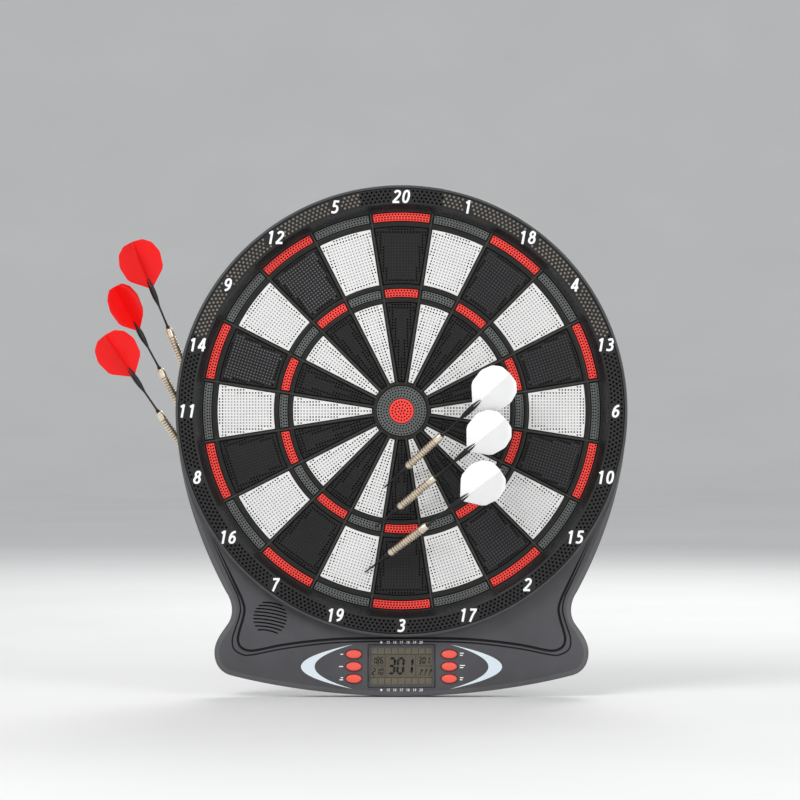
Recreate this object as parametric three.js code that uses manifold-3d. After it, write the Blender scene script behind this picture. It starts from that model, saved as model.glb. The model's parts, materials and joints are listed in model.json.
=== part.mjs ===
// Electronic soft-tip dartboard, in millimetres.
// +Z is up, the front faces -Y, and the wall plane is y = 0.
// The origin is on the flat back, straight behind the bullseye.
import * as THREE from "three";
import { mergeVertices } from "three/addons/utils/BufferGeometryUtils.js";
import Module from "manifold-3d";

const wasm = await Module();
wasm.setup();

// ---- Driving dimensions ----

const GAP = 0.35; // clearance between touching pieces
const PAST = 1; // how far a cutting tool runs past the face it cuts
const RIGHT_THROUGH = [-40, 5]; // a cutting tool that clears the whole depth
const SUNK = 0.5; // how far joined solids run into each other

// Target radii: a 13.5 inch (343 mm) soft-tip target.
const BULL_R = 10.6;
const OUTER_BULL_R = 21.6;
const HUB_OUT_R = 25.2;
const INNER_SINGLE = [25.6, 93.8];
const TRIPLE = [98.7, 105.7];
const OUTER_SINGLE = [110.4, 159.1];
const DOUBLE = [164.5, 171.6];
const TARGET_R = 172.1;
const WEB_RIM_R = 176;
const SPOKE_WIDTH = 3.2;
const STRIP_IN_R = 26; // where the strip behind a wedge's segments starts
const STRIP_SIDE_GAP = 0.5;
const NUMBERS = [20, 1, 18, 4, 13, 6, 10, 15, 2, 17, 3, 19, 7, 16, 8, 11, 14, 9, 12, 5];
const WEDGE_ANGLE = (2 * Math.PI) / NUMBERS.length;

// Rings and the outline of the body.
const WELL_R = [172.8, 174.2];
const SLOPE_FOOT_R = 173.2;
const SLOPE_TOP_R = 179;
const NUMBER_RING_R = 192.2;
const RIM_IN_R = 192.6;
const RIM_R = 195;
const WALL = 2.2;
const REAR_INSET = 1;
const REAR_WALL = 2;

// Depths along Y, from the wall forwards.
const FLOOR_Y = -2;
const WELL_FRONT_Y = -11.4;
const FOAM_Y = [-7.1, -2.35];
const MEMBRANE_Y = [-8.1, -7.45];
const STRIP_Y = [-11.4, -9.45];
const FACE_Y = -22;
const WEB_BACK_Y = -11.9;
const WEB_SIDE_Y = -21.6;
const RIDGE_Y = -23;
const HOOP_FRONT_Y = -22.3;
const WEB_RIM_FRONT_Y = -21.7;
const BULL_FLANGE = { radius: 12.4, front: -10.7 };
const SEAM_Y = -14.3;
const PANEL_Y = [-21, -18.8];
const RING_FRONT_Y = -30;
const RIM_FRONT_Y = -30.5;
const RING_SKIN = 2.4; // wall of the number ring
const RING_FOOT_DROP = 7.6; // how far the slope's foot lies behind the ring's front
const RING_SKIRT = 6; // depth of the number ring's outer wall
const RING_SHOULDER = 1.8;

// Control panel.
const LCD_Z = -220.8;
const LENS_SIZE = [57.4, 36.4];
const LENS_CLEARANCE = 0.7;
const LENS_LEDGE = 2; // width of the ledge that the lens rests on
const LENS_RECESS = 1.2;
const LENS_THICKNESS = 0.8;
const LCD_BACK_Y = -15.2;
const BUTTON_X = 41.3;
const BUTTON_Z = [-210.5, -221.1, -231.7];
const BUTTON_R = [6.75, 3.65];
const BUTTON_LIP = 1.3;
const BUTTON_FRONT_Y = -23.2;
const LIP_BACK_Y = -17.3;
const STEM = { radius: 2, back: -16.35 };
const MAT = { x: [-50, 50], front: -14.8, z: [-237, -205] };
const BOARD = { x: [-56, 56], z: [-239, -198] };
const BOARD_Y = [-13, -11.4];
const SPEAKER_AT = [-113.7, -179.1];
const SPEAKER_R = 15.5;
const SPEAKER_SLOTS = [-10, -5, 0, 5, 10]; // rise of each slot above the speaker's centre
const SPEAKER_SLOT_HALF = 1;
const SPEAKER_PROFILE = [
  [0, -18.2], [14, -18.2], [14, -16.6], [11, -13.4], [8, -13.4], [8, -9.5], [0, -9.5],
];

// Ribbon and leads inside the housing. The ribbon's outline is in Y and Z.
const TAIL_WIDTH = [-12, 12];
const TAIL_BEND = [[-8, -172.5], [-7.6, -172.5], [-7.6, -190], [-10.6, -200], [-11, -200], [-8, -190]];
const TAIL_NOTCH = { x: [-14, 14], y: [-12.5, -6.8], z: [-176, -170] };
const LEAD_NOTCH = { x: [80, 88], y: [-11.6, -8.4], z: [-197, -193] };
const BATTERY_LEAD_R = 1.1;
const BATTERY_ROUTE = [[81.8, -10, -195], [74, -10, -198], [64, -12, -208], [56.5, -12.2, -212]];
const SPEAKER_LEAD_R = 1;
const SPEAKER_ROUTE = [[-105.2, -12, -184], [-92, -10, -190], [-70, -12, -206], [-56.5, -12.2, -210]];
const LEAD_STEPS = 14;

// Battery bay: three AA cells lying along X in the right-hand ear.
const CELL_R = 7.2;
const CELL_LENGTH = 49.4;
const NUB = [2.6, 1.1];
const CELL_Y = -9.7;
const CELL_X = 88.3;
const CELL_Z = [-168.4, -184, -199.6];
const BAY_X = [85.2, 140.3];
const BAY_Z = [-207.6, -160.4];
const BAY_FRONT_Y = -17.2;
const BAY_WALL = 3;
const BAY_ROOF = 1.2;
const CONTACT = { thickness: 0.5, y: [-16, -3], left: 86, right: 139.4 };
const CONE = { radii: [2, 4], height: 1.6 };
const DOOR_X = [84.1, 141.4];
const DOOR_Z = [-209.1, -159.3];
const DOOR_THICKNESS = 1.8;
const DOOR_CLEARANCE = 0.4;

// Fastenings.
const UPPER_SCREW = [130.1, 130.1];
const LOWER_SCREW = [135, -219];
const SCREW_HEAD = [3.2, 2];
const SCREW_SHANK = [1.3, 14];
const SCREW_HEAD_BACK_Y = -0.3;
const SCREW_CLEARANCE = 0.4;
const BOSS = { radius: 4, back: -5.3, bore: 1.7, upperBoreFront: -18, lowerBoreFront: -17 };
const TOWER = { radius: 5.2, front: -5 };
const KEYHOLE_AT = [90, 155.9];
const KEYHOLE_R = 4.5;
const KEYHOLE_SLOT = [4.6, 9];

// Darts: distances along the axis from the point.
const TIP_END = 28;
const BARREL_END = 70;
const BARREL_R = 3.4;
const COLLAR = { start: 21.5, radius: 2.4 };
const POINT_R = [0.5, 1.1];
const POINT_LENGTH = 20;
const BARREL_CHAMFER = 0.5;
const STEM_END = 92;
const STEM_R = 1.4;
const HOLDER_R = 2.6;
const HOLDER_TAPER = 4;
const HOLDER_END = 117;
const FLIGHT = [106, 152];
const FLIGHT_HALF = 19;
const FLIGHT_THICKNESS = 0.7;
const DART_STANDOFF = 0.9; // how far a thrown dart's point stays in front of the segment
const THROWN_ANGLE = THREE.MathUtils.degToRad(257.2);
const THROWN = [
  { radius: 68, heading: 42.4, rise: 16 },
  { radius: 103.3, heading: 40.2, rise: 15.5 },
  { radius: 143.2, heading: 37.6, rise: 15 },
];
const STORED_DEPTH = 38; // how far a stored dart reaches behind the rim
const STORED_Y = -9.5;
const STORED_RISE = 9;
const BORE_CLEARANCE = { holder: 0.5, housing: 0.9 };
const DART_HOLDER = { radii: [174.7, 188.9], middle: 183, halfSpan: 17.5, front: -13.4 };
const STORED = [
  { ringAngle: 167.5, heading: 112, roll: 0 },
  { ringAngle: 177.5, heading: 118, roll: 45 },
  { ringAngle: 188, heading: 124, roll: 0 },
];

const PRESS_TRAVEL = 1;

const RING_STEPS = 40; // two steps to each wedge, with corners on the spokes and between them

// ---- Colours ----

const COLOURS = {
  grey: [0x54545a, 0.6, 0],
  black: [0x1c1c1e, 0.5, 0],
  white: [0xe4e4e0, 0.55, 0],
  slate: [0x5f6667, 0.5, 0],
  red: [0xe0402f, 0.5, 0],
  coral: [0xff6459, 0.4, 0],
  foam: [0xcfcfc8, 0.9, 0],
  film: [0xb9c4c9, 0.3, 0],
  lens: [0xc8ccc0, 0.1, 0],
  lcd: [0x8b8674, 0.3, 0],
  board: [0x1f6b3a, 0.5, 0],
  rubber: [0x3a3a3c, 0.8, 0],
  steel: [0xb4b6b8, 0.35, 0.9],
  label: [0x2a4d8f, 0.4, 0.2],
  barrel: [0xcdbfa2, 0.35, 0.8],
  wire: [0xb02020, 0.5, 0],
};

// ---- Geometry helpers ----

function toSolid(geometry) {
  const bare = geometry.clone();
  bare.deleteAttribute("normal");
  bare.deleteAttribute("uv");
  const merged = mergeVertices(bare, 1e-3);
  const corners = merged.index.array;
  const kept = [];
  for (let i = 0; i < corners.length; i += 3) {
    const [a, b, c] = corners.subarray(i, i + 3);
    if (a !== b && b !== c && c !== a) kept.push(a, b, c);
  }
  return new wasm.Manifold(
    new wasm.Mesh({
      numProp: 3,
      vertProperties: new Float32Array(merged.attributes.position.array),
      triVerts: new Uint32Array(kept),
    }),
  );
}

function toGeometry(solid) {
  const { vertProperties, triVerts } = solid.getMesh();
  const geometry = new THREE.BufferGeometry();
  geometry.setAttribute("position", new THREE.BufferAttribute(vertProperties, 3));
  geometry.setIndex(new THREE.BufferAttribute(triVerts, 1));
  return geometry;
}

function join(...pieces) {
  return toGeometry(pieces.map(toSolid).reduce((whole, piece) => whole.add(piece)));
}

function cut(base, ...tools) {
  return toGeometry(tools.map(toSolid).reduce((rest, tool) => rest.subtract(tool), toSolid(base)));
}

// A flat plate: an outline drawn in X and Z, from y = front back to y = back.
function plate(outline, [front, back], curveSegments = 6) {
  const geometry = new THREE.ExtrudeGeometry(outline, {
    depth: back - front,
    bevelEnabled: false,
    curveSegments,
  });
  return geometry.rotateX(Math.PI / 2).translate(0, back, 0);
}

function block([x0, x1], [y0, y1], [z0, z1]) {
  const geometry = new THREE.BoxGeometry(x1 - x0, y1 - y0, z1 - z0);
  return geometry.translate((x0 + x1) / 2, (y0 + y1) / 2, (z0 + z1) / 2);
}

// A round rod along Y.
function rod(radius, [front, back], [x, z], steps = 16) {
  const geometry = new THREE.CylinderGeometry(radius, radius, back - front, steps);
  return geometry.translate(x, (front + back) / 2, z);
}

// A solid turned about the Y axis from [radius, y] points.
function turned(profile, steps = RING_STEPS) {
  const points = profile.map(([r, y]) => new THREE.Vector2(r, y));
  if (THREE.ShapeUtils.isClockWise(points)) points.reverse();
  const onAxis = points.some((p) => p.x === 0);
  if (!onAxis) points.push(points[0].clone());
  while (onAxis && !(points[0].x === 0 && points.at(-1).x === 0)) points.push(points.shift());
  return new THREE.LatheGeometry(points, steps);
}

function hoop([inner, outer], [front, back], steps = RING_STEPS) {
  return turned([[inner, front], [outer, front], [outer, back], [inner, back]], steps);
}

function ellipse([rx, ry], [x, z]) {
  return new THREE.Shape().absellipse(x, z, rx, ry, 0, 2 * Math.PI);
}

// A wedge-shaped outline centred on +X, with its sides a fixed distance inside the wedge's edges.
function sector([inner, outer], sideGap, halfAngle = WEDGE_ANGLE / 2) {
  const innerAngle = halfAngle - Math.asin(sideGap / inner);
  const outerAngle = halfAngle - Math.asin(sideGap / outer);
  const shape = new THREE.Shape();
  shape.absarc(0, 0, outer, -outerAngle, outerAngle, false);
  shape.absarc(0, 0, inner, innerAngle, -innerAngle, true);
  return shape;
}

// A tube of round section along a smooth curve through the points.
function tube(points, radius, steps) {
  const section = new THREE.Shape().absarc(0, 0, radius, 0, 2 * Math.PI);
  const curve = new THREE.CatmullRomCurve3(points.map((p) => new THREE.Vector3(...p)));
  return new THREE.ExtrudeGeometry(section, { steps, extrudePath: curve, curveSegments: 4 });
}

// The body's outline: a circle on top of a skirt with a waist and a wide foot.
function bodyOutline(inset) {
  const skirtTop = [194.4, -15];
  const half = new THREE.Path();
  half.moveTo(0, -247);
  half.bezierCurveTo(50, -247, 105, -240, 147.5, -229);
  half.bezierCurveTo(157, -226.5, 162, -219, 162, -209);
  half.bezierCurveTo(162, -199, 155, -191, 150.5, -184.5);
  half.bezierCurveTo(144.5, -176, 146.5, -164.5, 152, -156.5);
  half.bezierCurveTo(176, -112, 192.8, -60, ...skirtTop);
  const right = half.getPoints(5);
  const arcSteps = RING_STEPS / 2;
  for (let i = 0; i <= arcSteps; i += 1) {
    const angle = (i / arcSteps) * (Math.PI / 2);
    right.push(new THREE.Vector2(RIM_R * Math.cos(angle), RIM_R * Math.sin(angle)));
  }
  const left = right.slice(1, -1).reverse();
  const points = [...right, ...left.map((p) => new THREE.Vector2(-p.x, p.y))];
  return points.map((point, i) => {
    const before = points.at(i - 1);
    const after = points[(i + 1) % points.length];
    const along = after.clone().sub(before).normalize();
    return new THREE.Vector2(point.x - along.y * inset, point.y + along.x * inset);
  });
}

function bodyPlate(inset, depths) {
  return plate(new THREE.Shape(bodyOutline(inset)), depths);
}

// ---- Assembly ----

const dartboard = new THREE.Group();

function add(name, geometry, colour, parent = dartboard) {
  const [color, roughness, metalness] = COLOURS[colour];
  const material = new THREE.MeshStandardMaterial({ color, roughness, metalness });
  const mesh = new THREE.Mesh(toGeometry(toSolid(geometry)), material);
  mesh.name = name;
  parent.add(mesh);
  return mesh;
}

const mirrored = ([x, z]) => [[x, z], [-x, z]];
const upperScrews = mirrored(UPPER_SCREW);
const lowerScrews = mirrored(LOWER_SCREW);
const screws = [...upperScrews, ...lowerScrews];

// The moving targets: one wedge for each number, its four segments joined by a strip behind the web.
function wedgeGeometry() {
  const side = SPOKE_WIDTH / 2 + GAP;
  const segments = [INNER_SINGLE, TRIPLE, OUTER_SINGLE, DOUBLE].map((radii) =>
    plate(sector(radii, side), [FACE_Y, STRIP_Y[0] + SUNK], 1),
  );
  const strip = plate(sector([STRIP_IN_R, DOUBLE[1]], STRIP_SIDE_GAP), STRIP_Y, 1);
  return join(strip, ...segments);
}

const wedge = wedgeGeometry();
NUMBERS.forEach((number, i) => {
  const mesh = add(`segments_${number}`, wedge, i % 2 ? "white" : "black");
  mesh.rotation.y = i * WEDGE_ANGLE - Math.PI / 2;
});

const flangeFront = BULL_FLANGE.front;
const socketR = BULL_FLANGE.radius + GAP;
const shoulder = flangeFront - PRESS_TRAVEL - GAP;
add(
  "bullseye",
  turned(
    [[0, FACE_Y], [BULL_R, FACE_Y], [BULL_R, flangeFront], [BULL_FLANGE.radius, flangeFront],
      [BULL_FLANGE.radius, STRIP_Y[1]], [0, STRIP_Y[1]]],
    40,
  ),
  "red",
);
add(
  "outer_bull",
  turned(
    [[BULL_R + GAP, FACE_Y], [OUTER_BULL_R, FACE_Y], [OUTER_BULL_R, STRIP_Y[0]],
      [HUB_OUT_R, STRIP_Y[0]], [HUB_OUT_R, STRIP_Y[1]], [socketR, STRIP_Y[1]],
      [socketR, shoulder], [BULL_R + GAP, shoulder]],
    40,
  ),
  "slate",
);

// The web that frames every segment.
function spiderGeometry() {
  const spokeHalf = SPOKE_WIDTH / 2;
  const section = new THREE.Shape();
  section.moveTo(-spokeHalf, WEB_BACK_Y);
  section.lineTo(spokeHalf, WEB_BACK_Y);
  section.lineTo(spokeHalf, WEB_SIDE_Y);
  section.lineTo(0, RIDGE_Y);
  section.lineTo(-spokeHalf, WEB_SIDE_Y);
  const start = HUB_OUT_R - 4 * SUNK;
  const spokes = NUMBERS.map((_, i) => {
    const spoke = new THREE.ExtrudeGeometry(section, {
      depth: TARGET_R + SUNK - start,
      bevelEnabled: false,
    });
    return spoke.translate(0, 0, start).rotateY((i + 0.5) * WEDGE_ANGLE);
  });
  const depths = [HOOP_FRONT_Y, WEB_BACK_Y];
  const between = (inner, outer) => [inner[1] + GAP, outer[0] - GAP];
  const hoops = [
    hoop([OUTER_BULL_R + GAP, HUB_OUT_R], depths, 40),
    hoop(between(INNER_SINGLE, TRIPLE), depths),
    hoop(between(TRIPLE, OUTER_SINGLE), depths),
    hoop(between(OUTER_SINGLE, DOUBLE), depths),
    hoop([TARGET_R, WEB_RIM_R], [WEB_RIM_FRONT_Y, WEB_BACK_Y]),
  ];
  return join(...hoops, ...spokes);
}

add("spider_web", spiderGeometry(), "black");

// The black ring that carries the numbers and stops stray darts.
function numberRingGeometry() {
  const foot = RING_FRONT_Y + RING_FOOT_DROP;
  const inside = NUMBER_RING_R - RING_SKIN;
  const body = turned([
    [SLOPE_FOOT_R, foot],
    [SLOPE_TOP_R, RING_FRONT_Y],
    [NUMBER_RING_R, RING_FRONT_Y],
    [NUMBER_RING_R, RING_FRONT_Y + RING_SKIRT],
    [inside, RING_FRONT_Y + RING_SKIRT],
    [inside, RING_FRONT_Y + RING_SKIN],
    [SLOPE_TOP_R + RING_SHOULDER, RING_FRONT_Y + RING_SKIN],
    [SLOPE_FOOT_R + RING_SKIN, foot],
  ]);
  const bosses = upperScrews.map((at) => rod(BOSS.radius, [RING_FRONT_Y + PAST, BOSS.back], at));
  const holes = upperScrews.map((at) => rod(BOSS.bore, [BOSS.upperBoreFront, PAST], at));
  return cut(join(body, ...bosses), ...holes);
}

add("number_ring", numberRingGeometry(), "black");

// The grey rim that stands up round the number ring.
add("front_rim", hoop([RIM_IN_R, RIM_R], [RIM_FRONT_Y, PANEL_Y[0] - GAP]), "grey");

// The grey front cover: side wall and lower panel, open at the target.
function frontCoverGeometry() {
  const shell = bodyPlate(0, [PANEL_Y[0], SEAM_Y]);
  const inside = bodyPlate(WALL, [PANEL_Y[1], SEAM_Y + PAST]);
  const target = rod(RIM_IN_R, RIGHT_THROUGH, [0, 0], RING_STEPS);
  const bosses = lowerScrews.map((at) => rod(BOSS.radius, [PANEL_Y[1] - SUNK, BOSS.back], at));
  const holes = lowerScrews.map((at) => rod(BOSS.bore, [BOSS.lowerBoreFront, PAST], at));
  const [lensWidth, lensHeight] = LENS_SIZE;
  const centred = (size, middle = 0) => [middle - size / 2, middle + size / 2];
  const recess = block(
    centred(lensWidth + LENS_CLEARANCE),
    [PANEL_Y[0] - PAST, PANEL_Y[0] + LENS_RECESS],
    centred(lensHeight + LENS_CLEARANCE, LCD_Z),
  );
  const view = block(
    centred(lensWidth - 2 * LENS_LEDGE),
    RIGHT_THROUGH,
    centred(lensHeight - 2 * LENS_LEDGE, LCD_Z),
  );
  const buttonHoles = buttonPlaces.map(({ at }) =>
    plate(ellipse(BUTTON_R.map((r) => r + GAP), at), RIGHT_THROUGH, 8),
  );
  const slots = SPEAKER_SLOTS.map((rise) => {
    const half = Math.sqrt(SPEAKER_R ** 2 - rise ** 2) - 1.5 * SPEAKER_SLOT_HALF;
    const [x, z] = SPEAKER_AT;
    const across = [z + rise - SPEAKER_SLOT_HALF, z + rise + SPEAKER_SLOT_HALF];
    return block([x - half, x + half], RIGHT_THROUGH, across);
  });
  const hollow = cut(shell, inside, target);
  return cut(join(hollow, ...bosses), ...holes, recess, view, ...buttonHoles, ...slots);
}

const buttonPlaces = BUTTON_Z.flatMap((z, row) => [
  { name: `button_left_${row + 1}`, at: [-BUTTON_X, z] },
  { name: `button_right_${row + 1}`, at: [BUTTON_X, z] },
]);

add("front_cover", frontCoverGeometry(), "grey");

// A dart's solid, its axis on +Y from the point to the flight.
function dartGeometry() {
  const body = turned(
    [[0, 0], [POINT_R[0], 0], [POINT_R[1], POINT_LENGTH], [COLLAR.radius, COLLAR.start],
      [COLLAR.radius, TIP_END], [BARREL_R, TIP_END + BARREL_CHAMFER],
      [BARREL_R, BARREL_END - BARREL_CHAMFER], [STEM_R, BARREL_END], [STEM_R, STEM_END],
      [HOLDER_R, STEM_END + HOLDER_TAPER], [HOLDER_R, HOLDER_END], [0, HOLDER_END]],
    10,
  );
  const [root, end] = FLIGHT;
  const fin = new THREE.Shape();
  fin.moveTo(0, root);
  fin.lineTo(FLIGHT_HALF - 2, root + 11);
  fin.lineTo(FLIGHT_HALF, root + 22);
  fin.lineTo(FLIGHT_HALF - 6, end - 2);
  fin.lineTo(0, end);
  fin.lineTo(6 - FLIGHT_HALF, end - 2);
  fin.lineTo(-FLIGHT_HALF, root + 22);
  fin.lineTo(2 - FLIGHT_HALF, root + 11);
  const pair = new THREE.ExtrudeGeometry(fin, { depth: FLIGHT_THICKNESS, bevelEnabled: false });
  pair.translate(0, 0, -FLIGHT_THICKNESS / 2);
  return join(body, pair, pair.clone().rotateY(Math.PI / 2));
}

// Turns +Y into the direction that heads along the board and rises off it towards the front.
function dartTurn(heading, rise, roll = 0) {
  const turn = THREE.MathUtils.degToRad(heading);
  const lift = THREE.MathUtils.degToRad(rise);
  const axis = new THREE.Vector3(
    Math.cos(turn) * Math.cos(lift),
    -Math.sin(lift),
    Math.sin(turn) * Math.cos(lift),
  );
  const across = new THREE.Vector3().crossVectors(axis, new THREE.Vector3(0, 1, 0)).normalize();
  const normal = new THREE.Vector3().crossVectors(across, axis);
  return new THREE.Matrix4()
    .makeBasis(across, axis, normal)
    .multiply(new THREE.Matrix4().makeRotationY(THREE.MathUtils.degToRad(roll)));
}

const dart = dartGeometry();

function addDart(name, point, turn) {
  const mesh = add(name, dart, "barrel");
  mesh.applyMatrix4(turn);
  mesh.position.set(...point);
}

THROWN.forEach(({ radius, heading, rise }, i) => {
  const point = [
    radius * Math.cos(THROWN_ANGLE),
    FACE_Y - DART_STANDOFF,
    radius * Math.sin(THROWN_ANGLE),
  ];
  addDart(`thrown_dart_${i + 1}`, point, dartTurn(heading, rise));
});

// Where each stored dart's point lies, worked back from where the dart crosses the rim.
const storedPlaces = STORED.map(({ ringAngle, heading, roll }, i) => {
  const turn = dartTurn(heading, STORED_RISE, roll);
  const angle = THREE.MathUtils.degToRad(ringAngle);
  const entry = new THREE.Vector3(RIM_R * Math.cos(angle), STORED_Y, RIM_R * Math.sin(angle));
  const axis = new THREE.Vector3().setFromMatrixColumn(turn, 1);
  const point = entry.addScaledVector(axis, -STORED_DEPTH);
  return { name: `stored_dart_${i + 1}`, point: point.toArray(), turn };
});

storedPlaces.forEach(({ name, point, turn }) => addDart(name, point, turn));

// The hole that a stored dart needs: a wide bore for the barrel and a narrow one for the point.
function storageBore({ point, turn }, spare) {
  const steps = [
    [BARREL_R, TIP_END - 0.6, BARREL_END - 2.6],
    [COLLAR.radius, COLLAR.start - 1.8, TIP_END + 0.7],
    [POINT_R[1], -8, POINT_LENGTH + 2],
  ];
  const bores = steps.map(([radius, start, end]) => {
    const bore = new THREE.CylinderGeometry(radius + spare, radius + spare, end - start, 12);
    return bore.translate(0, (start + end) / 2, 0);
  });
  return join(...bores).applyMatrix4(turn).translate(...point);
}

function dartHolderGeometry() {
  const halfSpan = THREE.MathUtils.degToRad(DART_HOLDER.halfSpan);
  const depths = [DART_HOLDER.front, FLOOR_Y - GAP];
  const arc = plate(sector(DART_HOLDER.radii, 0.1, halfSpan), depths, 3);
  arc.rotateY(-THREE.MathUtils.degToRad(DART_HOLDER.middle));
  const webRelief = hoop([OUTER_SINGLE[1], WEB_RIM_R + 1.5 * GAP], [RIM_FRONT_Y, WEB_BACK_Y + GAP]);
  const bores = storedPlaces.map((place) => storageBore(place, BORE_CLEARANCE.holder));
  return cut(arc, webRelief, ...bores);
}

add("dart_holder", dartHolderGeometry(), "black");

// The black rear housing: dish, target well, battery bay, screw towers and hanging keyholes.
function keyholeTool([x, z]) {
  const [slotWidth, slotLength] = KEYHOLE_SLOT;
  const through = [FLOOR_Y - PAST, PAST];
  return join(
    rod(KEYHOLE_R, through, [x, z]),
    rod(slotWidth / 2, through, [x, z + slotLength]),
    block([x - slotWidth / 2, x + slotWidth / 2], through, [z, z + slotLength]),
  );
}

const grow = ([low, high], by) => [low - by, high + by];

function rearHousingGeometry() {
  const rearDepth = [SEAM_Y + GAP, 0];
  const dish = cut(
    bodyPlate(REAR_INSET, rearDepth),
    bodyPlate(REAR_INSET + REAR_WALL, [SEAM_Y - PAST, FLOOR_Y]),
  );
  const well = hoop(WELL_R, [WELL_FRONT_Y, FLOOR_Y + SUNK]);
  const bay = block(grow(BAY_X, BAY_WALL), [BAY_FRONT_Y - BAY_ROOF, 0], grow(BAY_Z, BAY_WALL));
  const towers = screws.map((at) => rod(TOWER.radius, [TOWER.front, FLOOR_Y + SUNK], at));
  const cavity = block(BAY_X, [BAY_FRONT_Y, PAST], BAY_Z);
  const doorway = block(
    grow(DOOR_X, DOOR_CLEARANCE),
    [-DOOR_THICKNESS - GAP, PAST],
    grow(DOOR_Z, DOOR_CLEARANCE),
  );
  const headFloor = SCREW_HEAD_BACK_Y - SCREW_HEAD[1] - SCREW_CLEARANCE;
  const heads = screws.map((at) => rod(SCREW_HEAD[0] + SCREW_CLEARANCE, [headFloor, PAST], at));
  const shanks = screws.map((at) =>
    rod(SCREW_SHANK[0] + SCREW_CLEARANCE, [TOWER.front - PAST, PAST], at),
  );
  const tailNotch = block(TAIL_NOTCH.x, TAIL_NOTCH.y, TAIL_NOTCH.z);
  const leadNotch = block(LEAD_NOTCH.x, LEAD_NOTCH.y, LEAD_NOTCH.z);
  return cut(
    join(dish, well, bay, ...towers),
    cavity,
    doorway,
    ...heads,
    ...shanks,
    tailNotch,
    leadNotch,
    ...mirrored(KEYHOLE_AT).map(keyholeTool),
    ...storedPlaces.map((place) => storageBore(place, BORE_CLEARANCE.housing)),
  );
}

add("rear_housing", rearHousingGeometry(), "black");

// Sensing layers behind the segments.
add("foam_pad", rod(TARGET_R, FOAM_Y, [0, 0], RING_STEPS), "foam");
add("membrane_sheet", rod(TARGET_R, MEMBRANE_Y, [0, 0], RING_STEPS), "film");

// A strip bent in Y and Z, with its width along X.
function bentStrip(points, [x0, x1]) {
  const outline = new THREE.Shape(points.map(([y, z]) => new THREE.Vector2(y, z)));
  const strip = new THREE.ExtrudeGeometry(outline, { depth: x1 - x0, bevelEnabled: false });
  // The outline's two axes become Y and Z, and the extrusion runs along X.
  const turn = new THREE.Matrix4().makeBasis(
    new THREE.Vector3(0, 1, 0),
    new THREE.Vector3(0, 0, 1),
    new THREE.Vector3(1, 0, 0),
  );
  return strip.applyMatrix4(turn).translate(x0, 0, 0);
}

add("membrane_tail", bentStrip(TAIL_BEND, TAIL_WIDTH), "film");

// Control unit.
const [lensWidth, lensHeight] = LENS_SIZE;
const lensX = [-lensWidth / 2, lensWidth / 2];
const lensZ = [LCD_Z - lensHeight / 2, LCD_Z + lensHeight / 2];
const lensBackY = PANEL_Y[0] + LENS_RECESS - GAP;
add("lcd_lens", block(lensX, [lensBackY - LENS_THICKNESS, lensBackY], lensZ), "lens");
add("lcd_module", block(grow(lensX, -1), [PANEL_Y[1] + GAP, LCD_BACK_Y], lensZ), "lcd");
add("keypad_mat", block(MAT.x, [MAT.front, BOARD_Y[0] - GAP], MAT.z), "rubber");
add("main_board", block(BOARD.x, BOARD_Y, BOARD.z), "board");

function buttonGeometry(at) {
  const cap = plate(ellipse(BUTTON_R, at), [BUTTON_FRONT_Y, PANEL_Y[1] + GAP + SUNK], 8);
  const lipR = BUTTON_R.map((r) => r + BUTTON_LIP);
  const lip = plate(ellipse(lipR, at), [PANEL_Y[1] + GAP, LIP_BACK_Y], 8);
  const stem = rod(STEM.radius, [LIP_BACK_Y - SUNK, STEM.back], at, 12);
  return join(cap, lip, stem);
}

buttonPlaces.forEach(({ name, at }) => add(name, buttonGeometry(at), "coral"));

const speaker = turned(SPEAKER_PROFILE, 24).translate(SPEAKER_AT[0], 0, SPEAKER_AT[1]);
add("speaker", speaker, "steel");
add("battery_lead", tube(BATTERY_ROUTE, BATTERY_LEAD_R, LEAD_STEPS), "wire");
add("speaker_lead", tube(SPEAKER_ROUTE, SPEAKER_LEAD_R, LEAD_STEPS), "wire");

// Battery bay contents. The middle cell lies the other way round.
function cellGeometry() {
  const [nubR, nubLength] = NUB;
  return turned(
    [[0, 0], [CELL_R, 0], [CELL_R, CELL_LENGTH], [nubR, CELL_LENGTH],
      [nubR, CELL_LENGTH + nubLength], [0, CELL_LENGTH + nubLength]],
    20,
  );
}

const cell = cellGeometry();
const cellSpan = CELL_LENGTH + NUB[1];
const isFlipped = (i) => i === 1;

CELL_Z.forEach((z, i) => {
  const mesh = add(`battery_${i + 1}`, cell, "label");
  mesh.rotation.z = isFlipped(i) ? Math.PI / 2 : -Math.PI / 2;
  mesh.position.set(isFlipped(i) ? CELL_X + cellSpan : CELL_X, CELL_Y, z);
});

// A contact strip, with a cone in place of the spring in each of the given rows.
function contactGeometry(x, coneRows) {
  const strip = block([x, x + CONTACT.thickness], CONTACT.y, grow(BAY_Z, -1));
  const length = CONE.height + CONTACT.thickness;
  const cones = coneRows.map((z) => {
    const cone = new THREE.CylinderGeometry(...CONE.radii, length, 12);
    return cone.rotateZ(-Math.PI / 2).translate(x + length / 2, CELL_Y, z);
  });
  return join(strip, ...cones);
}

const uprightRows = CELL_Z.filter((_, i) => !isFlipped(i));
add("battery_contacts_left", contactGeometry(CONTACT.left, uprightRows), "steel");
add("battery_contacts_right", contactGeometry(CONTACT.right, []), "steel");

// The battery door, with a round lower edge on its hinge line.
function doorGeometry() {
  const round = DOOR_THICKNESS / 2;
  const outline = new THREE.Shape();
  outline.moveTo(0, DOOR_Z[1]);
  outline.lineTo(-DOOR_THICKNESS, DOOR_Z[1]);
  outline.lineTo(-DOOR_THICKNESS, DOOR_Z[0] + round);
  outline.absarc(-round, DOOR_Z[0] + round, round, Math.PI, 2 * Math.PI, false);
  return bentStrip(outline.getPoints(8).map((p) => [p.x, p.y]), DOOR_X);
}

add("battery_door", doorGeometry(), "black");

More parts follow.
